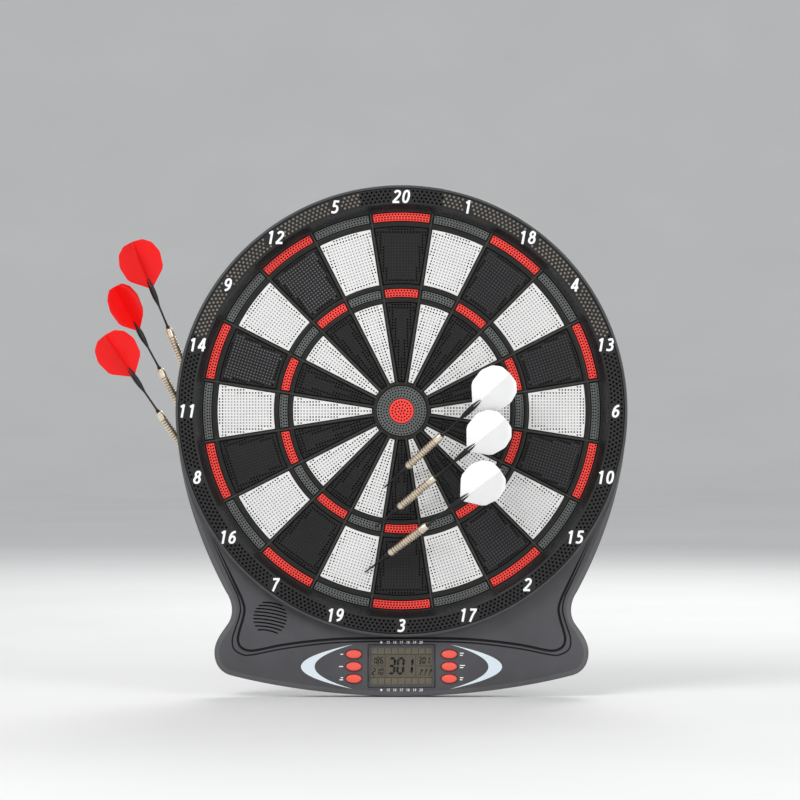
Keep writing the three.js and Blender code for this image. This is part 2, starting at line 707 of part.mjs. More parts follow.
// Screws, driven in from the back.
function screwGeometry([x, z]) {
  const [headR, headHeight] = SCREW_HEAD;
  const [shankR, shankLength] = SCREW_SHANK;
  const headBack = SCREW_HEAD_BACK_Y;
  const headFront = headBack - headHeight;
  const profile = [[0, headBack], [headR, headBack], [headR, headFront], [shankR, headFront],
    [shankR, headFront - shankLength], [0, headFront - shankLength]];
  return turned(profile, 14).translate(x, 0, z);
}

const screwNames = ["upper_right", "upper_left", "lower_right", "lower_left"];
screws.forEach((at, i) => add(`screw_${screwNames[i]}`, screwGeometry(at), "steel"));

export default dartboard;
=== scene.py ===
"""Looks of the electronic dartboard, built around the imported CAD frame.

Shapes are written in millimetres in the frame's axes: X right, Y into the wall, Z up,
with the bullseye's axis on Y. They become metres when a piece is made.
"""

import json
import math

import bmesh
import bpy
import numpy as np
from mathutils import Matrix, Vector
from mathutils.geometry import delaunay_2d_cdt


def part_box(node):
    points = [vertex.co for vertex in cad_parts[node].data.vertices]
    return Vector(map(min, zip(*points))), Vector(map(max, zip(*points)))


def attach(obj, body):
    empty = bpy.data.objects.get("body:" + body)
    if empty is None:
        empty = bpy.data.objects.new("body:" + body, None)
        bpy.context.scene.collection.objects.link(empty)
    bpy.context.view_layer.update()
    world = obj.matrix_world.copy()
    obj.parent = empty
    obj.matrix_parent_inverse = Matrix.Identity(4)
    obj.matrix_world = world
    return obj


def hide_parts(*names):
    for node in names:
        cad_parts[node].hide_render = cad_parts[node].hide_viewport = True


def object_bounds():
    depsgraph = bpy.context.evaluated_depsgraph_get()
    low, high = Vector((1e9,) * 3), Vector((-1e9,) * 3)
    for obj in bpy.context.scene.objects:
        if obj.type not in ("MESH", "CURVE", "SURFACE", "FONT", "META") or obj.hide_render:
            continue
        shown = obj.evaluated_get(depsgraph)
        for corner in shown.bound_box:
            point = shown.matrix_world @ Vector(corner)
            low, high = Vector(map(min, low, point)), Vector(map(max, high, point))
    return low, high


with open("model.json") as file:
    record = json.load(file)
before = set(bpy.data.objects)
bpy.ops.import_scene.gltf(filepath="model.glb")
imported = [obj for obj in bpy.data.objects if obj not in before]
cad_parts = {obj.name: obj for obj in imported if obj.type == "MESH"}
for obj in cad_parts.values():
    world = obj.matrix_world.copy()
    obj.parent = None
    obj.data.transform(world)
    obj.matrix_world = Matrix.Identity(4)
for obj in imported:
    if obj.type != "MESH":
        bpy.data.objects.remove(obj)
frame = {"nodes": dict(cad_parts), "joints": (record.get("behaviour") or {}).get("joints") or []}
cad_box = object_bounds()

MM = 0.001
WELD = 0.0005  # points closer than this (mm) become one
NUMBERS = [20, 1, 18, 4, 13, 6, 10, 15, 2, 17, 3, 19, 7, 16, 8, 11, 14, 9, 12, 5]
WEDGE = 2 * math.pi / len(NUMBERS)

# Radii and depths that the CAD frame also holds.
BULL_R = 10.6
OUTER_BULL = (11.1, 21.6)
HUB_R = 25.2
SEGMENTS = {
    "inner_single": (25.7, 93.8),
    "triple": (98.7, 105.7),
    "outer_single": (110.4, 159.1),
    "double": (164.5, 171.6),
}
FACE_Y = -22.0
STRIP_FRONT_Y = -11.4
BULL_FLANGE_Y = -10.7
BULL_SOCKET_R = 12.9
BULL_SHOULDER_Y = -12.0
STRIP_BACK_Y = -9.5
WEB_HALF = 1.6
WEB_BACK_Y = -11.9
WEB_EDGE_R = 175.9
RIDGE_Y = -22.95
SLOPE_FOOT = (173.2, -22.4)
SLOPE_TOP_R = 179.0
NUMBER_RING_R = 192.2
RING_FRONT_Y = -30.0
RIM = (192.6, 195.0)
RIM_FRONT_Y = -30.5
PANEL_Y = -21.0
PANEL_BACK_Y = -18.8
SEAM_Y = -14.3
LCD_Z = -220.8
BUTTON_X = 41.3
BUTTON_Z = (-210.5, -221.1, -231.7)
BUTTON_R = (6.75, 3.65)
SPEAKER_AT = (-113.7, -179.1)
SPEAKER_R = 15.5


# ---- Materials ----


def node_material(name):
    material = bpy.data.materials.new(name)
    material.use_nodes = True
    nodes = material.node_tree.nodes
    return material, nodes, material.node_tree.links, nodes["Principled BSDF"]


def texture_space(nodes, links, scale):
    place = nodes.new("ShaderNodeTexCoord")
    mapping = nodes.new("ShaderNodeMapping")
    mapping.inputs["Scale"].default_value = (scale, scale, scale)
    links.new(place.outputs["Object"], mapping.inputs["Vector"])
    return mapping.outputs["Vector"]


def noise(nodes, links, scale, detail=4.0):
    texture = nodes.new("ShaderNodeTexNoise")
    texture.inputs["Scale"].default_value = 1.0
    texture.inputs["Detail"].default_value = detail
    links.new(texture_space(nodes, links, scale), texture.inputs["Vector"])
    return texture.outputs["Fac"]


def ramp(nodes, links, fac, stops):
    node = nodes.new("ShaderNodeValToRGB")
    elements = node.color_ramp.elements
    while len(elements) < len(stops):
        elements.new(0.5)
    for element, (at, color) in zip(elements, stops):
        element.position = at
        element.color = (*color, 1.0)
    links.new(fac, node.inputs["Fac"])
    return node.outputs["Color"]


def bump(nodes, links, bsdf, heights, distance):
    """Adds one bump node for each (height, strength) pair, one after another."""
    last = None
    for height, strength in heights:
        node = nodes.new("ShaderNodeBump")
        node.inputs["Strength"].default_value = strength
        node.inputs["Distance"].default_value = distance
        links.new(height, node.inputs["Height"])
        if last is not None:
            links.new(last.outputs["Normal"], node.inputs["Normal"])
        last = node
    links.new(last.outputs["Normal"], bsdf.inputs["Normal"])


def scaled(color, factor):
    return tuple(min(1.0, channel * factor) for channel in color)


def plastic(name, color, rough=0.45, grain=900.0, strength=0.25, drift=0.14, coat=0.0, sheen=0.5):
    """Moulded plastic: a fine grain, slow drifts of tone, and patches of rubbed gloss.

    sheen sets how strongly the surface reflects.
    """
    material, nodes, links, bsdf = node_material(name)
    slow = noise(nodes, links, 28.0)
    fine = noise(nodes, links, grain, 2.0)
    tone = ramp(
        nodes, links, slow,
        [(0.3, scaled(color, 1 - drift)), (0.55, color), (0.75, scaled(color, 1 + drift))],
    )
    links.new(tone, bsdf.inputs["Base Color"])
    handled = noise(nodes, links, 75.0, 6.0)
    gloss = ramp(nodes, links, handled, [(0.3, (rough * 0.8,) * 3), (0.7, (rough * 1.2,) * 3)])
    links.new(gloss, bsdf.inputs["Roughness"])
    bsdf.inputs["Specular IOR Level"].default_value = sheen
    bsdf.inputs["Coat Weight"].default_value = coat
    bsdf.inputs["Coat Roughness"].default_value = 0.15
    bump(nodes, links, bsdf, [(slow, 0.08), (fine, strength)], 0.0001)
    return material


def metal(name, color, rough):
    """Plated metal with a fine grain and slight tarnish."""
    material, nodes, links, bsdf = node_material(name)
    lines = nodes.new("ShaderNodeTexNoise")
    lines.inputs["Detail"].default_value = 3.0
    links.new(texture_space(nodes, links, 600.0), lines.inputs["Vector"])
    stain = noise(nodes, links, 90.0)
    tone = ramp(nodes, links, stain, [(0.3, scaled(color, 0.78)), (0.6, color)])
    links.new(tone, bsdf.inputs["Base Color"])
    gloss = ramp(nodes, links, lines.outputs["Fac"], [(0.3, (rough * 0.7,) * 3), (0.7, (rough * 1.3,) * 3)])
    links.new(gloss, bsdf.inputs["Roughness"])
    bsdf.inputs["Metallic"].default_value = 1.0
    bump(nodes, links, bsdf, [(lines.outputs["Fac"], 0.15)], 0.00005)
    return material


def foam_material(name, color):
    material, nodes, links, bsdf = node_material(name)
    cells = nodes.new("ShaderNodeTexVoronoi")
    links.new(texture_space(nodes, links, 700.0), cells.inputs["Vector"])
    tone = ramp(nodes, links, cells.outputs["Distance"], [(0.0, scaled(color, 0.6)), (0.5, color)])
    links.new(tone, bsdf.inputs["Base Color"])
    bsdf.inputs["Roughness"].default_value = 0.95
    bump(nodes, links, bsdf, [(cells.outputs["Distance"], 0.6)], 0.0004)
    return material


def board_material(name):
    """Green solder mask with a pale pattern of tracks."""
    material, nodes, links, bsdf = node_material(name)
    tracks = nodes.new("ShaderNodeTexBrick")
    tracks.inputs["Color1"].default_value = (0.01, 0.16, 0.05, 1)
    tracks.inputs["Color2"].default_value = (0.012, 0.2, 0.06, 1)
    tracks.inputs["Mortar"].default_value = (0.03, 0.34, 0.12, 1)
    tracks.inputs["Mortar Size"].default_value = 0.06
    links.new(texture_space(nodes, links, 400.0), tracks.inputs["Vector"])
    links.new(tracks.outputs["Color"], bsdf.inputs["Base Color"])
    bsdf.inputs["Roughness"].default_value = 0.35
    bump(nodes, links, bsdf, [(tracks.outputs["Fac"], 0.3)], 0.0001)
    return material


def clear_material(name, color, alpha, rough=0.05):
    """A clear window: thin, glossy, with faint smears in its gloss."""
    material, nodes, links, bsdf = node_material(name)
    bsdf.inputs["Alpha"].default_value = alpha
    smears = noise(nodes, links, 60.0, 5.0)
    tone = ramp(nodes, links, smears, [(0.35, scaled(color, 0.9)), (0.7, color)])
    links.new(tone, bsdf.inputs["Base Color"])
    gloss = ramp(nodes, links, smears, [(0.4, (rough,) * 3), (0.8, (rough * 3,) * 3)])
    links.new(gloss, bsdf.inputs["Roughness"])
    return material


# Every finish used, by its short name.
M = {
    "black": plastic("segment_black", (0.011, 0.011, 0.012), 0.55, sheen=0.25),
    "white": plastic("segment_white", (0.74, 0.74, 0.73), 0.5, drift=0.04),
    "red": plastic("segment_red", (0.88, 0.06, 0.048), 0.5, drift=0.1, sheen=0.3),
    "slate": plastic("segment_slate", (0.108, 0.117, 0.114), 0.5, sheen=0.3),
    "hole_dark": plastic("hole_shadow", (0.0015, 0.0015, 0.0015), 0.9, sheen=0.0),
    # Grey floor for the holes in white segments: painted shade inside the holes.
    "hole_shade_in_white": plastic("hole_shade_in_white", (0.42, 0.43, 0.43), 0.8, sheen=0.1),
    # Floors for the holes in black segments, lighter than the plastic: painted light, with half-lit and lit
    # copies for stronger painted light.
    "hole_in_black": plastic("hole_in_black", (0.05, 0.05, 0.052), 0.7, sheen=0.1),
    "hole_half_lit": plastic("hole_in_black_dim", (0.095, 0.095, 0.1), 0.7, sheen=0.1),
    "hole_lit": plastic("hole_in_black_lit", (0.18, 0.18, 0.185), 0.7, sheen=0.1),
    "ring": plastic("number_ring_black", (0.014, 0.014, 0.0145), 0.45, sheen=0.35),
    # Floors of the catch ring's holes: near-black painted shadow, and a tan copy that is painted light.
    "ring_hole": plastic("ring_hole_shadow", (0.001, 0.001, 0.001), 0.8, sheen=0.0),
    "ring_hole_lit": plastic("ring_hole_lit", (0.29, 0.25, 0.21), 0.6, sheen=0.2),
    "slope": plastic("ring_slope_gloss", (0.008, 0.008, 0.0085), 0.28, sheen=0.5, coat=0.3),
    "web": plastic("web_black", (0.0085, 0.0085, 0.0075), 0.38, sheen=0.35),
    # Lighter finish for the spokes' crests: a painted highlight.
    "web_ridge": plastic("web_ridge_highlight", (0.034, 0.036, 0.031), 0.3, sheen=0.5),
    "grey": plastic("case_grey", (0.078, 0.077, 0.085), 0.55, grain=1400.0, strength=0.35, sheen=0.35),
    # Lighter grey for the skirt's chamfer: a painted highlight where it faces the light.
    "grey_edge": plastic("case_chamfer_highlight", (0.1, 0.1, 0.105), 0.45, grain=1400.0, sheen=0.45),
    "rim": plastic("case_rim", (0.06, 0.062, 0.066), 0.45, grain=1400.0, sheen=0.3),
    "groove": plastic("groove_shade", (0.02, 0.02, 0.022), 0.7, sheen=0.2),
    "rear": plastic("rear_black", (0.014, 0.014, 0.015), 0.5, grain=1100.0, strength=0.5),
    "paint_white": plastic("printed_white", (0.93, 0.93, 0.93), 0.45, drift=0.03),
    "crescent": plastic("crescent_white", (0.72, 0.81, 0.87), 0.35, drift=0.03, coat=0.2),
    "coral": plastic("button_coral", (0.9, 0.12, 0.085), 0.4, drift=0.06, sheen=0.35),
    "cloth": plastic("speaker_cloth", (0.006, 0.006, 0.006), 0.95, grain=1600.0, strength=0.7, sheen=0.0),
    "lcd": plastic("lcd_ground", (0.115, 0.1, 0.074), 0.4, drift=0.06, sheen=0.2),
    "lcd_cell": plastic("lcd_cell", (0.15, 0.133, 0.092), 0.4, drift=0.05, sheen=0.2),
    "lcd_ink": plastic("lcd_ink", (0.0035, 0.0035, 0.003), 0.5, sheen=0.1),
    "lcd_line": plastic("lcd_line", (0.022, 0.019, 0.013), 0.5, sheen=0.1),
    "lens": clear_material("lens_clear", (0.3, 0.3, 0.28), 0.03),
    "film": clear_material("film_clear", (0.5, 0.58, 0.62), 0.75, 0.2),
    "foam": foam_material("foam_open_cell", (0.62, 0.62, 0.57)),
    "board": board_material("circuit_board_green"),
    "rubber": plastic("keypad_rubber", (0.05, 0.05, 0.052), 0.85),
    "speaker": metal("speaker_steel", (0.5, 0.5, 0.5), 0.4),
    "steel": metal("plated_steel", (0.62, 0.62, 0.63), 0.28),
    "wire": plastic("wire_red", (0.5, 0.02, 0.02), 0.35),
    "jacket": plastic("battery_jacket", (0.02, 0.06, 0.2), 0.25, coat=0.4),
    "gold": plastic("battery_band", (0.5, 0.27, 0.06), 0.3, coat=0.4),
    "barrel": metal("barrel_plated", (0.88, 0.78, 0.63), 0.36),
    # Darker copy of the barrel metal for the groove floors: painted shade in the grooves.
    "barrel_groove_shade": metal("barrel_groove_shade", (0.5, 0.42, 0.33), 0.5),
    "shaft": plastic("dart_shaft_black", (0.006, 0.006, 0.006), 0.35, sheen=0.4),
    "tip": plastic("dart_tip_black", (0.008, 0.008, 0.008), 0.35, sheen=0.4),
    "flight_white": plastic("flight_white", (0.97, 0.97, 0.97), 0.4, grain=300.0, strength=0.05, drift=0.02),
    "flight_red": plastic(
        "flight_red", (0.86, 0.006, 0.006), 0.35, grain=300.0, strength=0.05, drift=0.05, sheen=0.3
    ),
}


# ---- Mesh building ----


class Shell:
    """Collects points (mm) and faces, each face with the index of its material."""

    def __init__(self):
        self.points = []
        self.faces = []
        self.slots = []

    def add(self, points, faces, slot=0):
        start = len(self.points)
        self.points.extend(tuple(p) for p in points)
        self.faces.extend(tuple(start + i for i in face) for face in faces)
        self.slots.extend([slot] * len(faces))
        return start

    def loops(self, rows, closed=True, slot=0, cap_first=False, cap_last=False):
        """Joins rows of equally many points with quads. closed joins each row's end to its start."""
        count = len(rows[0])
        start = self.add([p for row in rows for p in row], [], slot)
        ends = count if closed else count - 1
        faces = []
        for r in range(len(rows) - 1):
            low = start + r * count
            for i in range(ends):
                j = (i + 1) % count
                faces.append((low + i, low + j, low + count + j, low + count + i))
        if cap_first:
            faces.append(tuple(start + i for i in reversed(range(count))))
        if cap_last:
            last = start + (len(rows) - 1) * count
            faces.append(tuple(last + i for i in range(count)))
        self.faces.extend(faces)
        self.slots.extend([slot] * len(faces))

    def turned(self, angle):
        """The same faces with the points turned about Y, from +X towards +Z."""
        copy = Shell()
        xyz = np.array(self.points)
        c, s = math.cos(angle), math.sin(angle)
        turned = np.stack([xyz[:, 0] * c - xyz[:, 2] * s, xyz[:, 1], xyz[:, 0] * s + xyz[:, 2] * c], 1)
        copy.points = [tuple(p) for p in turned]
        copy.faces = self.faces
        copy.slots = self.slots
        return copy

    def placed(self, matrix):
        """The same faces with the points moved by a matrix (mm)."""
        copy = Shell()
        copy.points = [tuple(matrix @ Vector(p)) for p in self.points]
        copy.faces = self.faces
        copy.slots = self.slots
        return copy

    def merge(self, other):
        start = len(self.points)
        self.points.extend(other.points)
        self.faces.extend(tuple(start + i for i in face) for face in other.faces)
        self.slots.extend(other.slots)

    def pit(self, centre, ring, taper, y, depth, slot, phase=0.0):
        """A floored hole behind an edge ring at y. taper is its floor's radius."""
        floor = circle(taper, len(ring), centre, phase)
        self.loops([at_depth(ring, y), at_depth(floor, y + depth)], slot=slot)
        self.add(at_depth(floor, y + depth), [tuple(range(len(ring)))], slot)


def piece(name, shell, body, materials, replaces=(), smooth=30.0):
    """Makes one object of a shell, in metres, with its faces out, riding on a body."""
    mesh = bpy.data.meshes.new(name)
    points = [(x * MM, y * MM, z * MM) for x, y, z in shell.points]
    mesh.from_pydata(points, [], shell.faces)
    mesh.polygons.foreach_set("material_index", shell.slots)
    for key in materials:
        mesh.materials.append(M[key])
    work = bmesh.new()
    work.from_mesh(mesh)
    bmesh.ops.remove_doubles(work, verts=work.verts, dist=WELD * MM)
    bmesh.ops.recalc_face_normals(work, faces=work.faces)
    work.to_mesh(mesh)
    work.free()
    mesh.shade_smooth()
    mesh.set_sharp_from_angle(angle=math.radians(smooth))
    thing = bpy.data.objects.new(name, mesh)
    bpy.context.scene.collection.objects.link(thing)
    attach(thing, body)
    if replaces:
        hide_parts(*replaces)


def circle(radius, steps, centre=(0.0, 0.0), phase=0.0):
    return [
        (centre[0] + radius * math.cos(phase + 2 * math.pi * i / steps),
         centre[1] + radius * math.sin(phase + 2 * math.pi * i / steps))
        for i in range(steps)
    ]


def oval(rx, rz, steps, centre):
    return [(centre[0] + rx * x, centre[1] + rz * z) for x, z in circle(1.0, steps)]


def at_depth(outline, y):
    return [(x, y, z) for x, z in outline]


def rings_of(profile, steps, centre=(0.0, 0.0)):
    """Rows of points about an axis along Y, from (radius, y) pairs."""
    return [at_depth(circle(r, steps, centre), y) for r, y in profile]


def fill(loops, lines, inside):
    """Triangulates between closed loops and open lines of (x, z) points.

    Returns the points in the order given, and the triangles whose centres pass inside(x, z)
    and that don't lie within one of the loops after the first.
    """
    points = []
    edges = []
    owner = []
    for k, loop in enumerate(list(loops) + list(lines)):
        start = len(points)
        points.extend(loop)
        owner.extend([k] * len(loop))
        last = len(loop) if k < len(loops) else len(loop) - 1
        edges.extend((start + i, start + (i + 1) % len(loop)) for i in range(last))
    made = delaunay_2d_cdt([Vector(p) for p in points], edges, [], 0, 1e-6)
    faces, origins = made[2], made[3]
    source = [o[0] if o else -1 for o in origins]
    if -1 in source:
        raise ValueError("two outlines cross")
    kept = []
    for face in faces:
        corners = [source[i] for i in face]
        owners = {owner[i] for i in corners}
        hole = len(owners) == 1 and 0 < next(iter(owners)) < len(loops)
        x = sum(points[i][0] for i in corners) / len(corners)
        z = sum(points[i][1] for i in corners) / len(corners)
        if not hole and inside(x, z):
            kept.append(tuple(corners))
    return points, kept


# ---- Perforated segments ----

SIDE_GAP = WEB_HALF + 0.35  # from a spoke's middle to a segment's side
HOLE_R = 0.74
HOLE_FLOOR_R = HOLE_R * 0.9
HOLE_SIDES = 8
HOLE_TURN = math.pi / 8
DEEP = 3.0
SHALLOW = 0.4
ALL_DEEP = 99.0  # wider than any segment, so every hole shows dark


def sector(radii, inset, steps):
    """A wedge outline about +X. inset moves every side inwards."""
    inner, outer = radii[0] + inset, radii[1] - inset
    side = SIDE_GAP + inset
    reach = WEDGE / 2 - math.asin(side / outer)
    root = WEDGE / 2 - math.asin(side / inner)
    out = [(outer * math.cos(a), outer * math.sin(a)) for a in np.linspace(-reach, reach, steps)]
    back = [(inner * math.cos(a), inner * math.sin(a)) for a in np.linspace(root, -root, steps)]
    return out + back


def inset_of(x, z, radii):
    """How far a point lies inside a wedge outline's nearest side."""
    r = math.hypot(x, z)
    half = WEDGE / 2
    side = min(x * math.sin(half) - z * math.cos(half), x * math.sin(half) + z * math.cos(half))
    return min(r - radii[0], radii[1] - r, side - SIDE_GAP)


def hole_grid(kind, radii):
    """Centres of a segment's tip holes: a square grid on singles, curved rows on the scoring rings."""
    pitch = 2.6
    centres = []
    if kind in ("double", "triple"):
        middle = (radii[0] + radii[1]) / 2
        for r in (middle - 2.15, middle, middle + 2.15):
            count = int((r * WEDGE - 2 * (WEB_HALF + 1.7)) / pitch)
            for i in range(count + 1):
                a = (i - count / 2) * pitch / r
                centres.append((r * math.cos(a), r * math.sin(a)))
        return centres
    columns = int(radii[1] * math.tan(WEDGE / 2) / pitch) + 1
    rows = int((radii[1] - radii[0]) / pitch) + 1
    for i in range(rows):
        x = radii[1] - 1.75 - i * pitch
        for j in range(-columns, columns + 1):
            if inset_of(x, j * pitch, radii) > 1.3:
                centres.append((x, j * pitch))
    return centres


def perforated(outline_at, holes, inside, is_deep, flange=0.8, flange_y=STRIP_FRONT_Y):
    """A closed plate with rounded front edges, a flange behind, and floored holes.

    outline_at(inset) gives its outline. The materials are plate, deep hole floor and shallow hole floor. Deep
    floors are painted shadow; shallow floors are painted shade in white segments and painted light in black ones.
    """
    bevel = 0.45
    shell = Shell()
    top = outline_at(bevel)
    rings = [circle(HOLE_R, HOLE_SIDES, c, HOLE_TURN) for c in holes]
    points, faces = fill([top] + rings, [], inside)
    shell.add(at_depth(points, FACE_Y), faces)
    shell.loops([
        at_depth(top, FACE_Y),
        at_depth(outline_at(bevel * 0.3), FACE_Y + bevel * 0.25),
        at_depth(outline_at(0.0), FACE_Y + bevel),
        at_depth(outline_at(0.0), flange_y),
        at_depth(outline_at(-flange), flange_y + 0.05),
        at_depth(outline_at(-flange), STRIP_BACK_Y),
    ], cap_last=True)
    for centre, ring in zip(holes, rings):
        depth, slot = (DEEP, 1) if is_deep(*centre) else (SHALLOW, 2)
        shell.pit(centre, ring, HOLE_FLOOR_R, FACE_Y, depth, slot, HOLE_TURN)
    return shell


def segment_shell(kind, deep_edge):
    """A segment. Holes less than deep_edge from its outline get deep floors of painted shadow."""
    radii = SEGMENTS[kind]
    return perforated(
        lambda inset: sector(radii, inset, 13),
        hole_grid(kind, radii),
        lambda x, z: inset_of(x, z, radii) > 0.4,
        lambda x, z: inset_of(x, z, radii) < deep_edge,
    )


# Black segments whose hole floors are painted lighter: painted light, lit in 12 and 14 and half lit in 18, 13, 2
# and 10.
LIT_HOLES = dict.fromkeys((12, 14), "hole_lit") | dict.fromkeys((18, 13, 2, 10), "hole_half_lit")


def build_segments():
    deep_edges = {"double": ALL_DEEP, "outer_single": 4.9, "triple": ALL_DEEP, "inner_single": 5.4}
    shells = {kind: segment_shell(kind, deep_edges[kind]) for kind in SEGMENTS}
    # The lit segments get a narrower band of holes with painted shadow along their edges.
    lit_shell = segment_shell("outer_single", 3.2)
    for i, number in enumerate(NUMBERS):
        angle = math.pi / 2 - i * WEDGE
        single, band = ("black", "red") if i % 2 == 0 else ("white", "slate")
        for kind, shell in shells.items():
            tone = single if "single" in kind else band
            # Shallow hole floors: painted shade for white segments, painted light for the rest.
            light = "hole_shade_in_white" if tone == "white" else "hole_in_black"
            if kind == "outer_single" and number in LIT_HOLES:
                light = LIT_HOLES[number]
                shell = lit_shell
            piece(
                f"{kind}_{number}",
                shell.turned(angle),
                f"number_{number}",
                [tone, "hole_dark", light],
                replaces=[f"segments_{number}"],
            )


def round_holes(rings):
    """Hole centres in circles: (radius, count) pairs, a count of 1 being the centre."""
    centres = []
    for k, (radius, count) in enumerate(rings):
        centres += circle(radius, count, phase=0.2 * k)
    return centres


def build_bulls():
    """The bullseye and the ring around it, which press in separately."""
    steps = 96
    bull = perforated(
        lambda inset: circle(BULL_R - inset, steps),
        round_holes([(0.001, 1), (2.7, 6), (5.4, 13), (8.1, 20)]),
        lambda x, z: True,
        lambda x, z: True,
        flange=1.8,
        flange_y=BULL_FLANGE_Y,
    )
    piece("bullseye_cap", bull, "bull", ["red", "hole_dark", "hole_dark"], ["bullseye"])
    inner, outer = OUTER_BULL
    shell = Shell()
    edges = [circle(outer - 0.4, steps), circle(inner + 0.4, steps)]
    holes = round_holes([(12.9, 31), (15.3, 37), (17.7, 43), (20.1, 49)])
    rings = [circle(HOLE_R, HOLE_SIDES, c) for c in holes]
    points, faces = fill(edges + rings, [], lambda x, z: math.hypot(x, z) > inner + 0.3)
    shell.add(at_depth(points, FACE_Y), faces)
    profile = [
        (outer - 0.4, FACE_Y), (outer - 0.1, FACE_Y + 0.12), (outer, FACE_Y + 0.4),
        (outer, STRIP_FRONT_Y), (HUB_R - 0.3, STRIP_FRONT_Y), (HUB_R - 0.3, STRIP_BACK_Y),
        (BULL_SOCKET_R, STRIP_BACK_Y), (BULL_SOCKET_R, BULL_SHOULDER_Y), (inner, BULL_SHOULDER_Y),
        (inner, FACE_Y + 0.4), (inner + 0.1, FACE_Y + 0.12), (inner + 0.4, FACE_Y),
    ]
    shell.loops(rings_of(profile, steps))
    for centre, ring in zip(holes, rings):
        shell.pit(centre, ring, HOLE_FLOOR_R, FACE_Y, DEEP, 1)
    piece("outer_bull_cap", shell, "outer_bull_ring", ["slate", "hole_dark"], ["outer_bull"])


# ---- Web ----


def build_web():
    """Crowned hoops and ridged spokes."""
    shell = Shell()
    steps = 240

    def hoop(inner, outer, crown=0.7):
        width = outer - inner
        front = RIDGE_Y + 0.35
        profile = [
            (inner, WEB_BACK_Y), (inner, front + crown + 0.3), (inner + 0.12 * width, front + 0.35 * crown),
            (inner + 0.35 * width, front), (outer - 0.35 * width, front),
            (outer - 0.12 * width, front + 0.35 * crown), (outer, front + crown + 0.3),
            (outer, WEB_BACK_Y), (inner, WEB_BACK_Y),
        ]
        shell.loops(rings_of(profile, steps))

    gap = 0.35
    hoop(OUTER_BULL[1] + gap, HUB_R)
    kinds = list(SEGMENTS)
    for inner_kind, outer_kind in zip(kinds, kinds[1:]):
        hoop(SEGMENTS[inner_kind][1] + gap, SEGMENTS[outer_kind][0] - gap)
    hoop(SEGMENTS["double"][1] + 0.5, WEB_EDGE_R)

    half = WEB_HALF
    section = [
        (half, WEB_BACK_Y), (half, FACE_Y + 0.5), (0.8 * half, FACE_Y - 0.1), (0.42 * half, RIDGE_Y + 0.35),
        (0.22 * half, RIDGE_Y),
    ]
    section = [(-z, y) for z, y in section] + section[::-1]
    for i in range(len(NUMBERS)):
        spoke = Shell()
        rows = [[(x, y, z) for z, y in section] for x in (HUB_R - 1.5, 92.0, 112.0, 158.0, 172.6)]
        spoke.loops(rows, cap_first=True, cap_last=True)
        # The crest faces of each spoke take the second, lighter finish: a painted highlight.
        crest = range(3, 7)
        spoke.slots = [
            int(len(face) == 4 and all(v % len(section) in crest for v in face)) for face in spoke.faces
        ]
        shell.merge(spoke.turned((i + 0.5) * WEDGE))
    piece("web", shell, "board", ["web", "web_ridge"], ["spider_web"], smooth=40)


# ---- Number ring ----


# Centre lines of the digits' strokes, in a box 0.6 wide and 1 high. A stroke marked True is closed.
STROKES = {
    "0": [(True, [(0.5, 0.5), (0.44, 0.83), (0.3, 0.915), (0.16, 0.83), (0.1, 0.5), (0.16, 0.17), (0.3, 0.085),
                  (0.44, 0.17)])],
    "1": [(False, [(0.34, 0.0), (0.34, 1.0)]), (False, [(0.36, 0.94), (0.14, 0.8)])],
    "2": [(False, [(0.1, 0.78), (0.17, 0.88), (0.3, 0.915), (0.45, 0.86), (0.49, 0.7), (0.41, 0.5), (0.24, 0.28),
                   (0.1, 0.1)]), (False, [(0.04, 0.085), (0.55, 0.085)])],
    "3": [(False, [(0.1, 0.85), (0.27, 0.915), (0.43, 0.87), (0.47, 0.73), (0.4, 0.58), (0.22, 0.53)]),
          (False, [(0.22, 0.53), (0.43, 0.47), (0.5, 0.3), (0.43, 0.14), (0.26, 0.085), (0.07, 0.14)])],
    "4": [(False, [(0.42, 0.0), (0.42, 1.0)]), (False, [(0.38, 0.93), (0.08, 0.31)]),
          (False, [(0.02, 0.29), (0.58, 0.29)])],
    "5": [(False, [(0.14, 0.915), (0.53, 0.915)]), (False, [(0.2, 0.93), (0.17, 0.53)]),
          (False, [(0.12, 0.55), (0.28, 0.585), (0.43, 0.52), (0.49, 0.34), (0.42, 0.15), (0.26, 0.085),
                   (0.07, 0.13)])],
    "6": [(False, [(0.47, 0.9), (0.31, 0.86), (0.17, 0.7), (0.11, 0.42), (0.13, 0.3)]),
          (True, [(0.49, 0.33), (0.43, 0.5), (0.3, 0.55), (0.16, 0.48), (0.11, 0.3), (0.17, 0.13), (0.3, 0.085),
                  (0.43, 0.14)])],
    "7": [(False, [(0.06, 0.915), (0.56, 0.915)]), (False, [(0.5, 0.9), (0.34, 0.55), (0.2, 0.0)])],
    "8": [(True, [(0.46, 0.73), (0.41, 0.87), (0.3, 0.92), (0.19, 0.87), (0.14, 0.73), (0.19, 0.59), (0.3, 0.54),
                  (0.41, 0.59)]),
          (True, [(0.5, 0.3), (0.44, 0.47), (0.3, 0.53), (0.16, 0.47), (0.1, 0.3), (0.16, 0.14), (0.3, 0.08),
                  (0.44, 0.14)])],
}
STROKES["9"] = [(shut, [(0.6 - x, 1.0 - z) for x, z in line]) for shut, line in STROKES["6"]]


